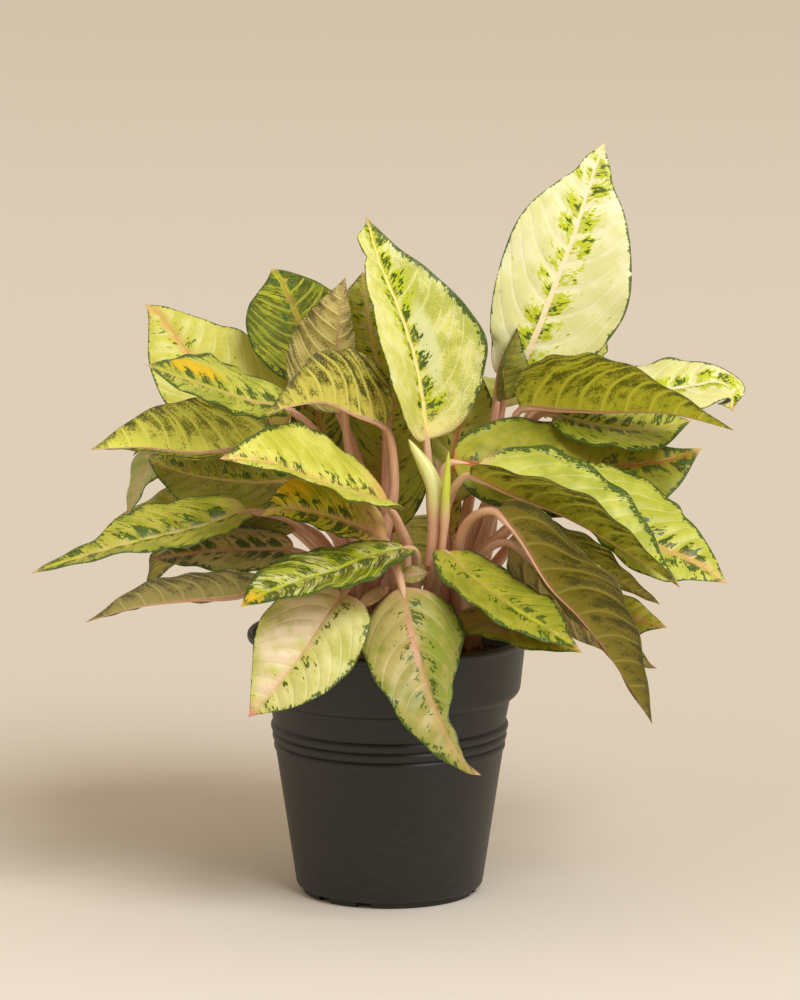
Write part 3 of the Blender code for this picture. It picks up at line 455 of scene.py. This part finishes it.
DARK_GREEN = (44, 64, 24)
LIT_GREEN = (88, 116, 44)
HALO = (196, 208, 8)
# Pale silver: partly the leaf's own marking, partly painted sheen
SILVER_AND_SHEEN = (240, 240, 200)
MOTTLING = (138, 158, 54)
VEIN_LIFT = (14, 12, 38)
FIELD_DARK = (46, 58, 8)
FIELD_LIGHT = (86, 96, 18)
# A grey rim on the lower side: partly the leaf's own colour, partly painted sheen
GREY_RIM_AND_SHEEN = (92, 88, 62)
UNDER_VEIN_LIFT = (26, 26, 26)

# Marks: the noise where they start, how far a look's whole amount lowers it, and its rise to full colour
FIELD_AT, FIELD_DROP, FIELD_SOFT = 0.62, 0.16, 0.05
HALO_AT, HALO_DROP, HALO_SOFT = 0.63, 0.3, 0.07
SPLASH_AT, SPLASH_DROP, SPLASH_SOFT = 0.68, 0.2, 0.022
SPECK_AT, SPECK_DROP, SPECK_SOFT = 0.69, 0.175, 0.022
UNDER_AT, UNDER_SOFT = 0.56, 0.13

# Widths in millimetres
SPLASH_REACH = 25.0
SPECK_REACH = 11.0
MARGIN_LINE = 16.0
RIB_FUZZ = 7.5
RIB_HALF, RIB_NARROWING = 2.7, 1.9
UNDER_RIB_HALF, UNDER_RIB_NARROWING = 3.2, 2.4


def leaf_fields(shader):
    """The sockets that a blade's patterns are drawn from, in millimetres where they are lengths."""
    flow, rib, edge = shader.parts("leaf_place")
    share, phase, _ = shader.parts("leaf_share")

    def noise(long, wide, layer, detail=2.0):
        return shader.noise(shader.over(flow, long), shader.over(rib, wide), layer, detail)

    return share, rib, shader.math("ABSOLUTE", rib), edge, shader.math("PINGPONG", phase, 0.5), noise


def upper_side(name, look):
    """Lime with dark green splashes by the midrib, speckles and a dark line at the margin, and pale veins."""
    shader = Shader(name, look.roughness, 0.3)
    share, rib, distance, edge, off_vein, noise = leaf_fields(shader)
    times, less, gain, blend = shader.times, shader.less, shader.gain, shader.blend
    mask, step, mix, cloud = shader.mask, shader.step, shader.mix, shader.cloud
    left = shader.math("GREATER_THAN", rib, 0.0)

    def sided(amount, scale=1.0):
        if not isinstance(amount, tuple):
            return amount * scale
        return gain(left, (amount[0] - amount[1]) * scale, amount[1] * scale)

    clusters = noise(6.5, 8.5, 4.0, 1.0)
    clouds = cloud(17.0, 3.0)
    grain = cloud(1.1, 11.0, 1.0)
    ragged = blend(noise(1.8, 4.0, 1.0, 3.0), clusters, 0.58)
    dotted = blend(noise(2.0, 3.4, 7.0), blend(cloud(2.6, 7.0), cloud(8.5, 5.0, 1.0), 0.5), 0.3)
    lively = blend(step(off_vein, 0.05, 0.26), step(cloud(26.0, 15.0, 1.0), 0.36, 0.58), 0.5)

    colour = mix(step(clouds, 0.38, 0.62), look.lime, look.deep)
    # Pale silvery patches: partly the leaf's own silver marking, partly painted sheen
    colour = mix(times(step(blend(clusters, clouds, 0.6), 0.49, 0.41), look.frost), colour, SILVER_AND_SHEEN)
    greener = gain(step(edge, 22.0, 3.0), 0.09, blend(grain, clouds, 0.5))
    mottled = times(step(greener, 0.49, 0.57), times(step(distance, 3.0, 16.0), sided(look.mottle, 0.65)))
    colour = mix(mottled, colour, MOTTLING)
    if look.fields:
        bands = blend(noise(*look.field_grain, 31.0), grain, look.field_share)
        drive = times(times(lively, step(distance, 1.0, 5.0)), FIELD_DROP * look.fields)
        field = mask(bands, less(FIELD_AT, drive), FIELD_SOFT)
        colour = mix(times(field, 0.88), colour, mix(step(clouds, 0.4, 0.6), FIELD_DARK, FIELD_LIGHT))
    vein = times(step(off_vein, 0.14, 0.0), step(edge, 0.5, 8.0))
    vein = times(times(vein, step(clusters, 0.3, 0.55)), 0.9 * look.veins)
    colour = mix(vein, colour, paler(look.lime, VEIN_LIFT))

    drive = times(times(step(distance, SPLASH_REACH, 5.0), step(share, 0.0, 0.1)), lively)
    halo = mask(ragged, less(HALO_AT, times(drive, 0.04 + HALO_DROP * look.halo_amount)), HALO_SOFT)
    colour = mix(times(halo, 0.3 + 0.65 * look.halo_amount), colour, HALO)
    splash = mask(ragged, less(SPLASH_AT, times(drive, sided(look.splash, SPLASH_DROP))), SPLASH_SOFT)
    splash = times(splash, step(distance, 1.4, 3.2))
    by_edge = times(step(edge, SPECK_REACH, 0.0), sided(look.edge, SPECK_DROP))
    speck = mask(dotted, less(SPECK_AT, by_edge), SPECK_SOFT)
    line = mask(times(less(dotted, 0.38), sided(look.margin, MARGIN_LINE)), edge, 0.5)
    dark = shader.math("MAXIMUM", shader.math("MAXIMUM", splash, speck), line)
    colour = mix(times(dark, 0.94), colour, mix(step(grain, 0.4, 0.62), DARK_GREEN, LIT_GREEN))

    bare = less(1.0, dark)
    if look.wash_amount:
        washed = times(step(clouds, 0.72, 0.46), sided(look.wash_amount))
        colour = mix(times(times(washed, step(edge, 0.5, 12.0)), bare), colour, look.wash)
    if look.patch_at:
        at_share, at_rib, long, wide = look.patch_at
        away = shader.node("CombineXYZ", shader.over(less(share, at_share), long),
                           shader.over(less(rib, at_rib), wide), 0.0)[0]
        away = shader.node("VectorMath", away, operation="LENGTH")["Value"]
        colour = mix(times(times(step(away, 1.15, 0.5), 0.92), bare), colour, look.patch)
    fuzzy = times(times(step(distance, RIB_FUZZ, 1.0), look.fuzz), step(ragged, 0.6, 0.44))
    midrib = mask(gain(share, -RIB_NARROWING * look.rib_width, RIB_HALF * look.rib_width), distance, 0.8)
    root = times(step(share, look.root_reach, 0.0), 0.75)
    for where in (fuzzy, midrib, root):
        colour = mix(where, colour, look.rib)
    end = step(share, 1.0 - 2.0 * look.tip_reach, 1.0 - 0.3 * look.tip_reach)
    relief = shader.plus(times(grain, 0.4), step(off_vein, 0.0, 0.16))
    return shader.skin(mix(end, colour, look.tip), relief, 0.0005, 0.5)


def lower_side(name, look):
    """Olive, with dark mottled fields between light yellow-green veins, and greyer towards the margin, partly
    its own grey rim and partly painted sheen.
    """
    shader = Shader(name, 0.44, 0.28)
    share, _, distance, edge, off_vein, noise = leaf_fields(shader)
    times, mask, step, mix = shader.times, shader.mask, shader.step, shader.mix
    fine = shader.cloud(1.0, 24.0)
    both = shader.blend(noise(8.0, 12.0, 21.0), fine, 0.52)
    outward = shader.gain(step(distance, 2.0, 24.0), 0.09, 0.05)
    dark = mask(both, shader.less(UNDER_AT, times(step(off_vein, 0.03, 0.2), outward)), UNDER_SOFT)
    colour = mix(times(dark, look.under_amount), look.under, look.under_dark)
    # Greyer towards the margin: partly the leaf's own grey rim, partly painted sheen
    margin = times(step(edge, 13.0, 0.0), step(both, 0.4, 0.56))
    colour = mix(times(margin, 0.8), colour, GREY_RIM_AND_SHEEN)
    vein = times(step(off_vein, 0.085, 0.0), step(edge, 0.5, 6.0))
    colour = mix(times(vein, 0.9), colour, paler(look.under, UNDER_VEIN_LIFT))
    midrib = mask(shader.gain(share, -UNDER_RIB_NARROWING, UNDER_RIB_HALF), distance, 2.2)
    relief = shader.plus(times(fine, 0.3), step(off_vein, 0.12, 0.0))
    return shader.skin(mix(midrib, colour, look.under_rib), relief, 0.0007, 0.6)


def stalk_skin(name, pink, shade, tint):
    """A smooth fleshy stalk with faint lengthwise streaks, darker at its foot: partly its own redder base,
    partly painted shade inside the crown.
    """
    shader = Shader(name, 0.38)
    along, turn, height = shader.parts("stalk_place")
    streak = shader.noise(shader.over(along, 30.0), shader.times(turn, 2.2), 2.0, 3.0)
    cloud = shader.noise(shader.over(along, 14.0), shader.times(turn, 0.6), 9.0)
    colour = shader.mix(shader.step(streak, 0.3, 0.7), shade, pink)
    colour = shader.mix(shader.times(shader.step(cloud, 0.5, 0.75), 0.5), colour, tint)
    # Darker foot: partly the stalk's own redder base, partly painted shade among the stalks inside the crown
    foot = shader.times(shader.step(height, 262.0, 186.0), 0.85)
    return shader.skin(shader.mix(foot, colour, (158, 98, 68)), streak, 0.0003, 0.4)


def spear_skin(name, light, deep):
    """A smooth rolled leaf that turns pink at its foot."""
    shader = Shader(name, 0.4)
    along, turn, height = shader.parts("stalk_place")
    streak = shader.noise(shader.over(along, 18.0), shader.times(turn, 2.5), 5.0, 3.0)
    colour = shader.mix(shader.step(streak, 0.35, 0.7), light, deep)
    foot = shader.step(height, 308.0, 282.0)
    return shader.skin(shader.mix(foot, colour, (226, 178, 144)), streak, 0.0004, 0.4)


def pot_skin():
    """Charcoal moulded plastic with fine turned marks and a little dust."""
    shader = Shader("pot_charcoal", 0.46, 0.45)
    turned = shader.stretched((3.0, 3.0, 900.0))
    scuff = shader.stretched((60.0, 60.0, 240.0), 4.0)
    grain = shader.stretched((2500.0, 2500.0, 2500.0))
    shader.feed(shader.surface["Roughness"], shader.gain(scuff, 0.12, 0.4))
    colour = shader.mix(shader.step(scuff, 0.35, 0.75), (30, 28, 27), (38, 36, 34))
    return shader.skin(colour, shader.blend(turned, grain, 0.7), 0.00008, 0.4)


def soil_skin():
    shader = Shader("potting_soil_dark", 0.95)
    crumbs = shader.stretched((260.0, 260.0, 260.0), 4.0, 0.7)
    colour = shader.mix(shader.step(crumbs, 0.35, 0.7), (34, 24, 18), (92, 68, 48))
    return shader.skin(colour, crumbs, 0.002)


# Paths and surfaces, as in the solids but finer

def smooth_path(points):
    """Points along Bezier spans, with each handle in its point's neighbours' direction."""
    points = [Vector(point) for point in points]
    last = len(points) - 1
    ways = [(points[min(i + 1, last)] - points[max(i - 1, 0)]).normalized() for i in range(last + 1)]
    path = [points[0]]
    for i in range(last):
        reach = (points[i + 1] - points[i]).length / 3
        start, end = points[i] + ways[i] * reach, points[i + 1] - ways[i + 1] * reach
        path += interpolate_bezier(points[i], start, end, points[i + 1], PATH_STEPS + 1)[1:]
    return path


def whole_path(leaf):
    """The stalk's path from inside its cane to the blade, and the blade's own path."""
    cane = Vector((*SHOOTS[leaf.shoot], STALK_ROOT))
    lean = Vector(leaf.stalk[0]) - cane
    lean.z = 0
    root = cane + lean.normalized() * min(STALK_SPREAD, lean.length)
    path = smooth_path((root, *leaf.stalk, *leaf.spine))
    base = (len(leaf.stalk) + 1) * PATH_STEPS
    return path[:base + 1], path[base:]


def unit(vectors):
    return vectors / np.linalg.norm(vectors, axis=-1, keepdims=True)


def square_to(vectors, way):
    """Unit vectors at right angles to a direction, nearest to the given ones."""
    return unit(vectors - way * np.sum(vectors * way, axis=1, keepdims=True))


def blade_up(leaf, shares, way):
    """Which way the upper side looks at shares of a blade's length."""
    base, tip = np.broadcast_to(leaf.face, (2, 3))
    return square_to(np.outer(1 - shares, base) + np.outer(shares, tip), way)


def sampled(path, shares):
    """Places and directions at shares of a path's length, and that length."""
    points = np.array(path)
    run = np.append(0.0, np.cumsum(np.linalg.norm(np.diff(points, axis=0), axis=1)))
    place = lambda at: np.stack([np.interp(at, run, points[:, k]) for k in range(3)], axis=1)
    at = np.asarray(shares) * run[-1]
    small = run[-1] / 60
    ways = place(np.minimum(at + small, run[-1])) - place(np.maximum(at - small, 0.0))
    return place(at), unit(ways), run[-1]


def breadth_at(share, belly):
    """A half blade's breadth at a share of its length, as a share of the greatest, which is at belly."""
    rise = np.clip(1 - share / belly, 0, 1)
    fall = np.clip((share - belly) / (1 - belly), 0, 1)
    swelling = BASE_BREADTH + (1 - BASE_BREADTH) * np.sqrt(1 - rise * rise)
    drawn = np.maximum(np.cos(np.pi / 2 * fall ** TIP_DRAW), 0.0) ** TIP_SHARP
    return np.where(share < belly, swelling, drawn)


LAST_SHARE = 0.998
RIB_GROOVE = 0.5
RIB_GROOVE_WIDTH = 2.0
RIB_GROOVE_FADE = 0.7
QUILTING = 1.3
QUILT_FROM_RIB = 7
QUILT_FROM_EDGE = 6
VEINS = 9
VEIN_SLANT = 0.4
VEIN_SWEEP = 0.95
FULL_RELIEF = 40
RIPPLE = 1.4
RIPPLES = 5.3
# Keeps the patterns of two blades apart, in millimetres
PATTERN_STEP = 137
# Bumps and notches in a margin: half (0 left, 1 right), place and width as shares of the length, size in mm
MARGIN_MARKS = {
    "leaf_front_1": ((0, 0.68, 0.07, -9.0),),
    "leaf_right_2": ((0, 0.89, 0.06, 9.0), (1, 0.9, 0.07, 10.0)),
    "leaf_top_2": ((1, 0.84, 0.05, -2.5), (0, 0.86, 0.04, -3.0), (0, 0.79, 0.09, -4.0), (1, 0.42, 0.16, 5.0)),
    "leaf_top_1": ((0, 0.9, 0.05, 10.0), (0, 0.815, 0.014, -5.0), (1, 0.36, 0.14, 7.0)),
    "leaf_left_6": ((1, 0.68, 0.16, -6.0),),
    "leaf_left_5": ((0, 0.5, 0.3, -6.0), (1, 0.5, 0.3, -4.0)),
}


def blade_grid(leaf, seed):
    """Points of the blade's middle surface, rows by columns, and what its patterns need at each."""
    shares = np.linspace(0, 1, BLADE_ROWS)
    shares[-1] = LAST_SHARE
    rows = shares[:, None]
    across = np.array([-part for part in HALF_COLUMNS[:0:-1]] + [*HALF_COLUMNS])
    centre, way, length = sampled(whole_path(leaf)[1], shares)
    up = blade_up(leaf, shares, way)
    left = np.cross(up, way)

    side = np.where(across > 0, 0, 1)
    fold, greatest, belly = (np.broadcast_to(pair, 2)[side] for pair in (leaf.fold, leaf.halves, leaf.belly))
    bend = np.radians(fold + CURL * np.abs(across) / 2)
    breadth = np.stack([breadth_at(shares, share) for share in belly], axis=1) * greatest
    for half, at, width, size in MARGIN_MARKS.get(leaf.name, ()):
        bump = size * np.exp(-((shares - at) / width) ** 2) * np.minimum((1 - shares) * 12, 1)
        breadth[:, side == half] += bump[:, None]
    reach = breadth * np.abs(across)
    edge = breadth - reach
    height, count = leaf.wave
    relief = min(np.max(leaf.halves) / FULL_RELIEF, 1.0)
    swell = np.sin(math.tau * (count * rows + HALVES_OFFSET * side)) * across ** 2
    ripple = np.sin(math.tau * (RIPPLES * rows + 0.37 * seed + 0.4 * side)) * across ** 4 * RIPPLE * relief
    lift = reach * np.sin(bend) + (height * swell + ripple) * np.sin(np.pi * rows)
    out = np.copysign(reach * np.cos(bend), across)
    points = centre[:, None] + left[:, None] * out[..., None] + up[:, None] * lift[..., None]

    flow = rows * length - VEIN_SLANT * reach - VEIN_SWEEP * reach ** 3 / greatest ** 2
    phase = flow / (length / VEINS) + 0.5 * side
    normal = unit(np.cross(np.gradient(points, axis=0), np.gradient(points, axis=1)))
    facing = np.sign(np.sum(normal * up[:, None]))
    window = np.clip(reach / QUILT_FROM_RIB, 0, 1) * np.clip(edge / QUILT_FROM_EDGE, 0, 1)
    quilt = QUILTING * relief * (0.5 - 0.5 * np.cos(math.tau * phase)) * window
    groove = RIB_GROOVE * np.exp(-(reach / RIB_GROOVE_WIDTH) ** 2) * (1 - RIB_GROOVE_FADE * rows)
    points = points + normal * facing * (quilt - groove)[..., None]
    place = np.stack([flow + PATTERN_STEP * seed, np.copysign(reach, across), edge], axis=-1)
    share = np.stack([rows + 0 * flow, phase, 0 * flow], axis=-1)
    return points, place, share, facing


def grid_faces(rows, columns, flip):
    corners = [i * columns + j for i in range(rows - 1) for j in range(columns - 1)]
    quads = [(a, a + columns, a + columns + 1, a + 1) for a in corners]
    return [quad[::-1] for quad in quads] if flip else quads


def tube_faces(rings, sides, start=0):
    """Quads between rings of points, and a face over each end."""
    pairs = [(start + i * sides + j, start + i * sides + (j + 1) % sides)
             for i in range(rings - 1) for j in range(sides)]
    last = start + (rings - 1) * sides
    return [*((a, b, b + sides, a + sides) for a, b in pairs),
            tuple(range(start + sides - 1, start - 1, -1)), tuple(range(last, last + sides))]


def linked(name, data, materials=()):
    """A new object in the scene."""
    for finish in materials:
        data.materials.append(finish)
    made = bpy.data.objects.new(name, data)
    bpy.context.scene.collection.objects.link(made)
    return made


def shaped(name, shape, *materials):
    """An object from a bmesh, which this uses up."""
    mesh = bpy.data.meshes.new(name)
    shape.to_mesh(mesh)
    shape.free()
    return linked(name, mesh, materials)


def mesh_object(name, points, faces, attributes, materials):
    """A smooth piece from points in millimetres, with vector attributes at its points."""
    mesh = bpy.data.meshes.new(name)
    mesh.from_pydata(points.reshape(-1, 3) * MM, [], faces)
    for label, values in attributes.items():
        layer = mesh.attributes.new(label, "FLOAT_VECTOR", "POINT")
        layer.data.foreach_set("vector", np.asarray(values, np.float32).ravel())
    mesh.shade_smooth()
    return linked(name, mesh, materials)


def build_blade(leaf, seed, skins):
    points, place, share, facing = blade_grid(leaf, seed)
    made = mesh_object(leaf.name + "_fine", points, grid_faces(*points.shape[:2], facing < 0),
                       {"leaf_place": place, "leaf_share": share}, skins)
    thick = made.modifiers.new("thickness", "SOLIDIFY")
    thick.thickness = BLADE_THICKNESS * MM
    thick.offset = 0.0
    thick.material_offset = 1
    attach(made, "root")
    if leaf in LEAVES:
        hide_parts(leaf.name)


def rings_round(centre, first, second, reach, turns, along):
    """Rings round a path's points, and each ring point's way along the path, turn and height."""
    points = (centre[:, None] + first[:, None] * (reach * np.cos(turns))[..., None]
              + second[:, None] * (reach * np.sin(turns))[..., None])
    return points, np.stack(np.broadcast_arrays(along[:, None], turns, points[..., 2]), axis=-1)


def rings_through(centre, way, radii, along, sides, groove, inward):
    """Rings of a stalk: round, with a shallow groove along the side that looks inward."""
    way = unit(way)
    inward = square_to(inward, way)
    turns = np.linspace(0, math.tau, sides, endpoint=False)
    dent = 1 - groove[:, None] * np.exp(-(np.minimum(turns, math.tau - turns) / GROOVE_WIDTH) ** 2)
    return rings_round(centre, inward, np.cross(way, inward), radii[:, None] * dent, turns, along)


RIB_RINGS = 40
RIB_END = 0.99
RIB_RADII = (1.5, 0.22)
RIB_TAPER = 2.2
RIB_SINK = 0.08
RIB_OVERLAP = 0.1
CROWN_CENTRE = (20, 5, 40)
GROOVE = 0.24
GROOVE_WIDTH = 0.55
TURNING_RINGS = 8
FACING = 40


def stalk_parts(leaf):
    """Rings from the cane to the blade and on under it, where the stalk becomes the tapering midrib."""
    stalk, blade = whole_path(leaf)
    shares = np.linspace(0, 1, STALK_RINGS)
    thick, thin = STALK_RADII
    centre, _, length = sampled(stalk, shares)
    inward = CROWN_CENTRE - centre * (1, 1, 0)

    rib_shares = np.linspace(0, RIB_END, RIB_RINGS)[1:]
    rib_centre, rib_way, rib_length = sampled(blade, rib_shares)
    up = blade_up(leaf, rib_shares, rib_way)
    rib_radii = RIB_RADII[1] + (RIB_RADII[0] - RIB_RADII[1]) * (1 - rib_shares) ** RIB_TAPER
    meet = np.clip(rib_shares / RIB_SINK, 0, 1)
    rib_radii = thin + (rib_radii - thin) * meet
    sink = (rib_radii + RIB_GROOVE * (1 - RIB_GROOVE_FADE * rib_shares) - RIB_OVERLAP) * meet ** 0.7
    path = np.concatenate([centre, rib_centre - up * sink[:, None]])
    groove = np.repeat((GROOVE, 0.0), (STALK_RINGS, RIB_RINGS - 1))
    reach = np.concatenate([thick + (thin - thick) * shares, rib_radii])
    turned = np.clip((np.arange(len(path)) - STALK_RINGS + TURNING_RINGS) / TURNING_RINGS, 0, 1)[:, None]
    under = np.concatenate([np.tile(up[0], (STALK_RINGS, 1)), up]) * FACING
    facing = np.concatenate([inward, up * FACING]) * (1 - turned) + under * turned
    along = np.concatenate([shares * length, length + rib_shares * rib_length])
    return rings_through(path, np.gradient(path, along, axis=0), reach, along, STALK_SIDES, groove, facing)


def build_shoot(key, skin):
    """The cane and every stalk of a shoot, each stalk ending in its blade."""
    shares = np.linspace(0, 1, CANE_RINGS)
    tall = CANE_TOP - CANE_FOOT
    cane = np.array((*SHOOTS[key], CANE_FOOT)) + shares[:, None] * (0, 0, tall)
    upward, ahead = (np.tile(way, (CANE_RINGS, 1)) for way in ((0, 0, 1), (0, 1, 0)))
    ringed = CANE_RADIUS * (1 - CANE_WAIST + CANE_WAIST * np.abs(np.cos(shares * 22)))
    tubes = [rings_through(cane, upward, ringed, shares * tall, CANE_SIDES, 0 * shares, ahead)]
    tubes += [stalk_parts(leaf) for leaf in LEAVES + INNER_LEAVES if leaf.shoot == key]
    faces, start = [], 0
    for points, _ in tubes:
        faces += tube_faces(*points.shape[:2], start)
        start += points.shape[0] * points.shape[1]
    points, places = (np.concatenate([part.reshape(-1, 3) for part in parts]) for parts in zip(*tubes))
    made = mesh_object(f"shoot_{key}_fine", points, faces, {"stalk_place": places}, (skin,))
    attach(made, "root")
    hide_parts("shoot_" + key)


SPEARS = (
    ("spear_1", ((30, -32, 250), (33, -36, 278), (32, -33, 310), (14, -26, 343)), 6.0,
     (236, 234, 170), (220, 221, 122)),
    ("spear_2", ((37, -40, 250), (40, -45, 282), (41, -45, 308), (43, -44, 337)), 3.3,
     (214, 220, 92), (190, 200, 50)),
)
SPEAR_RINGS = 60
SPEAR_SIDES = 28
# Shares of the length and the radius there, as a share of the spear's own
SPEAR_PROFILE = (0, 0.3, 0.45, 0.75, 0.93, 1.0), (0.8, 0.85, 1.05, 0.85, 0.4, 0.06)
SPEAR_STEP = 0.16
SPEAR_TWIST = 0.55


def build_spear(name, points, radius, light, deep):
    """A rolled new leaf: a slim pointed roll that the step of its outer margin winds round."""
    shares = np.linspace(0, 1, SPEAR_RINGS)
    centre, way, length = sampled(smooth_path(points), shares)
    aside = unit(np.cross(way, (0.0, 1.0, 0.0)))
    turns = np.linspace(0, math.tau, SPEAR_SIDES, endpoint=False)
    wound = (turns / math.tau + SPEAR_TWIST * shares[:, None]) % 1.0
    step = 1 + SPEAR_STEP * wound * np.clip(shares[:, None] * 4 - 1, 0, 1)
    reach = radius * np.interp(shares, *SPEAR_PROFILE)[:, None] * step
    rings, place = rings_round(centre, aside, -np.cross(aside, way), reach, turns, shares * length)
    made = mesh_object(name + "_fine", rings, tube_faces(SPEAR_RINGS, SPEAR_SIDES), {"stalk_place": place},
                       (spear_skin(name + "_skin", light, deep),))
    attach(made, "root")
    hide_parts(name)


# Pot: (radius, height) up the inside, down the outer side and in under the foot, in millimetres
POT_STEPS = 160
POT_SECTION = (
    (101, 193.8), (101.9, 195), (103, 195.4), (104.1, 195.1), (104.8, 194.3), (105, 193),
    (105, 191.6), (104.6, 190.6), (103.4, 189.8), (101.4, 189.4), (100.7, 188.8), (100.3, 187.5),
    (96.95, 155.6), (96.6, 153.4), (95.6, 151.2), (94, 149.3), (92, 148), (89.9, 147.4), (89.3, 146.8),
    (89.2, 145.6), (85.9, 128.4),
)
RIDGE_LEVELS = (124.8, 117.5, 110.2)
# (height, outward) from a ridge's level and the plain taper there
RIDGE_SHAPE = ((3, -0.7), (2.3, 0.1), (1.2, 0.6), (-0.2, 0.65), (-1.4, 0.35), (-2.4, -0.4), (-3.3, -0.8))
POT_FOOT = (
    (69.3, 8), (68.9, 6.4), (68, 5.1), (66.8, 4.5), (64.6, 4.4), (64.4, 4.2), (64.4, 0.3), (64.1, 0),
    (60, 0), (60, 4), (28, 4), (28, 0), (0, 0),
)
POT_INSIDE = (
    (0, 2.5), (24.8, 2.5), (25.8, 6.5), (64.9, 6.5), (67.1, 8.7), (81.8, 104.2), (83.7, 128.4),
    (87, 147.8), (94.7, 157.2), (98.1, 187.5),
)
POT_TAPER = 0.153
POT_SHARP = 42
NOTCH_SIZE = (14, 12.5, 6.6)
NOTCH_ANGLES = (-107, -138)
NOTCH_GROUPS = 3
NOTCH_RADIUS = 64.5


def notch_cutter():
    """Blocks that cut the notches out of the foot ring."""
    shape = bmesh.new()
    for group in range(NOTCH_GROUPS):
        for start in NOTCH_ANGLES:
            angle = math.radians(start + 360 * group / NOTCH_GROUPS)
            made = bmesh.ops.create_cube(shape, size=1.0)["verts"]
            bmesh.ops.scale(shape, vec=Vector(NOTCH_SIZE) * MM, verts=made)
            bmesh.ops.rotate(shape, matrix=Matrix.Rotation(angle, 3, "Z"), verts=made)
            place = Vector((NOTCH_RADIUS * math.cos(angle), NOTCH_RADIUS * math.sin(angle), 0)) * MM
            bmesh.ops.translate(shape, vec=place, verts=made)
    return shaped("notches", shape)


def build_pot():
    radius, foot = POT_FOOT[0]
    ridges = [(radius + POT_TAPER * (level - foot) + out, level + up)
              for level in RIDGE_LEVELS for up, out in RIDGE_SHAPE]
    section = [*POT_INSIDE, *POT_SECTION, *ridges, *POT_FOOT]
    mesh = bpy.data.meshes.new("pot_fine")
    mesh.from_pydata([(radius * MM, 0, level * MM) for radius, level in section],
                     [(i, i + 1) for i in range(len(section) - 1)], [])
    pot = linked("pot_fine", mesh, (pot_skin(),))
    turn = pot.modifiers.new("turn", "SCREW")
    turn.steps = turn.render_steps = POT_STEPS
    turn.use_merge_vertices = True
    turn.merge_threshold = 0.01 * MM
    cutter = notch_cutter()
    cut = pot.modifiers.new("cut", "BOOLEAN")
    cut.operation = "DIFFERENCE"
    cut.solver = "EXACT"
    cut.object = cutter
    bpy.context.view_layer.update()
    final = bpy.data.meshes.new_from_object(pot.evaluated_get(bpy.context.evaluated_depsgraph_get()))
    pot.modifiers.clear()
    pot.data = final
    bpy.data.objects.remove(cutter)
    final.shade_smooth()
    final.set_sharp_from_angle(angle=math.radians(POT_SHARP))
    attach(pot, "root")
    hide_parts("pot")


SOIL_LEVEL = 172
SOIL_RADIUS = 93
SOIL_HEAP = 4
CRUMBS = 900
CRUMB_SIZES = (1, 2.6)


def build_crumbs(finish):
    """Loose crumbs of soil and bark over the top of the soil."""
    draw = np.random.default_rng(11)
    shape = bmesh.new()
    for _ in range(CRUMBS):
        turn, out = draw.uniform(0, math.tau), SOIL_RADIUS * math.sqrt(draw.uniform(0, 1))
        size = draw.uniform(*CRUMB_SIZES)
        level = SOIL_LEVEL + SOIL_HEAP - 0.04 * out + size * 0.2
        place = Vector((out * math.cos(turn), out * math.sin(turn), level))
        made = bmesh.ops.create_icosphere(shape, subdivisions=1, radius=size * MM)["verts"]
        for vertex in made:
            vertex.co *= draw.uniform(0.65, 1.25)
            vertex.co.z *= 0.7
        bmesh.ops.translate(shape, vec=place * MM, verts=made)
    made = shaped("soil_crumbs", shape, finish)
    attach(made, "root")


def build_stage():
    """A wide pale floor, a little lighter near the pot than far behind it: painted light fall-off."""
    shader = Shader("floor_paper", 0.9, 0.1)
    y = shader.node("SeparateXYZ", shader.node("TexCoord")["Object"])[1]
    # Painted light fall-off: lighter in front, darker far behind
    colour = shader.mix(shader.step(y, -0.45, 0.35), (238, 231, 222), (219, 209, 195))
    colour = shader.mix(shader.step(y, 2.0, 7.0), colour, (207, 196, 181))
    shape = bmesh.new()
    bmesh.ops.create_grid(shape, x_segments=2, y_segments=2, size=30.0)
    floor = shaped("floor", shape, shader.skin(colour))


def build_lights():
    world = bpy.data.worlds.new("studio")
    world.use_nodes = True
    backdrop = world.node_tree.nodes["Background"].inputs
    backdrop["Color"].default_value = (*WORLD_COLOUR, 1.0)
    backdrop["Strength"].default_value = WORLD_STRENGTH
    bpy.context.scene.world = world
    lamp = bpy.data.lights.new("key", "SUN")
    lamp.energy = SUN_ENERGY
    lamp.angle = math.radians(SUN_SPREAD)
    lamp.color = SUN_COLOUR
    linked("key", lamp).rotation_euler = Vector(SUN_WAY).to_track_quat("-Z", "Y").to_euler()


def build_camera():
    camera = bpy.data.cameras.new("camera")
    camera.lens = CAMERA_LENS
    camera.clip_end = 100.0
    eye = linked("camera", camera)
    eye.location = CAMERA_PLACE
    eye.rotation_euler = (math.radians(90 - CAMERA_PITCH), 0, 0)
    bpy.context.scene.camera = eye


def main():
    bpy.context.scene.view_settings.view_transform = "Standard"
    build_camera()
    build_lights()
    build_stage()
    skins = {}
    for seed, leaf in enumerate(LEAVES + INNER_LEAVES):
        look = LOOKS.get(leaf.name, LIME)
        if id(look) not in skins:
            number = len(skins) + 1
            skins[id(look)] = upper_side(f"leaf_upper_{number}", look), lower_side(f"leaf_lower_{number}", look)
        build_blade(leaf, seed, skins[id(look)])
    pink = stalk_skin("stalk_pink", (227, 179, 150), (202, 148, 117), (224, 192, 154))
    fresh = stalk_skin("stalk_fresh", (234, 195, 160), (212, 164, 130), (222, 206, 146))
    for key in SHOOTS:
        build_shoot(key, fresh if key == "b" else pink)
    for spear in SPEARS:
        build_spear(*spear)
    build_pot()
    soil = soil_skin()
    bpy.data.objects["soil"].material_slots[0].material = soil
    build_crumbs(soil)


main()
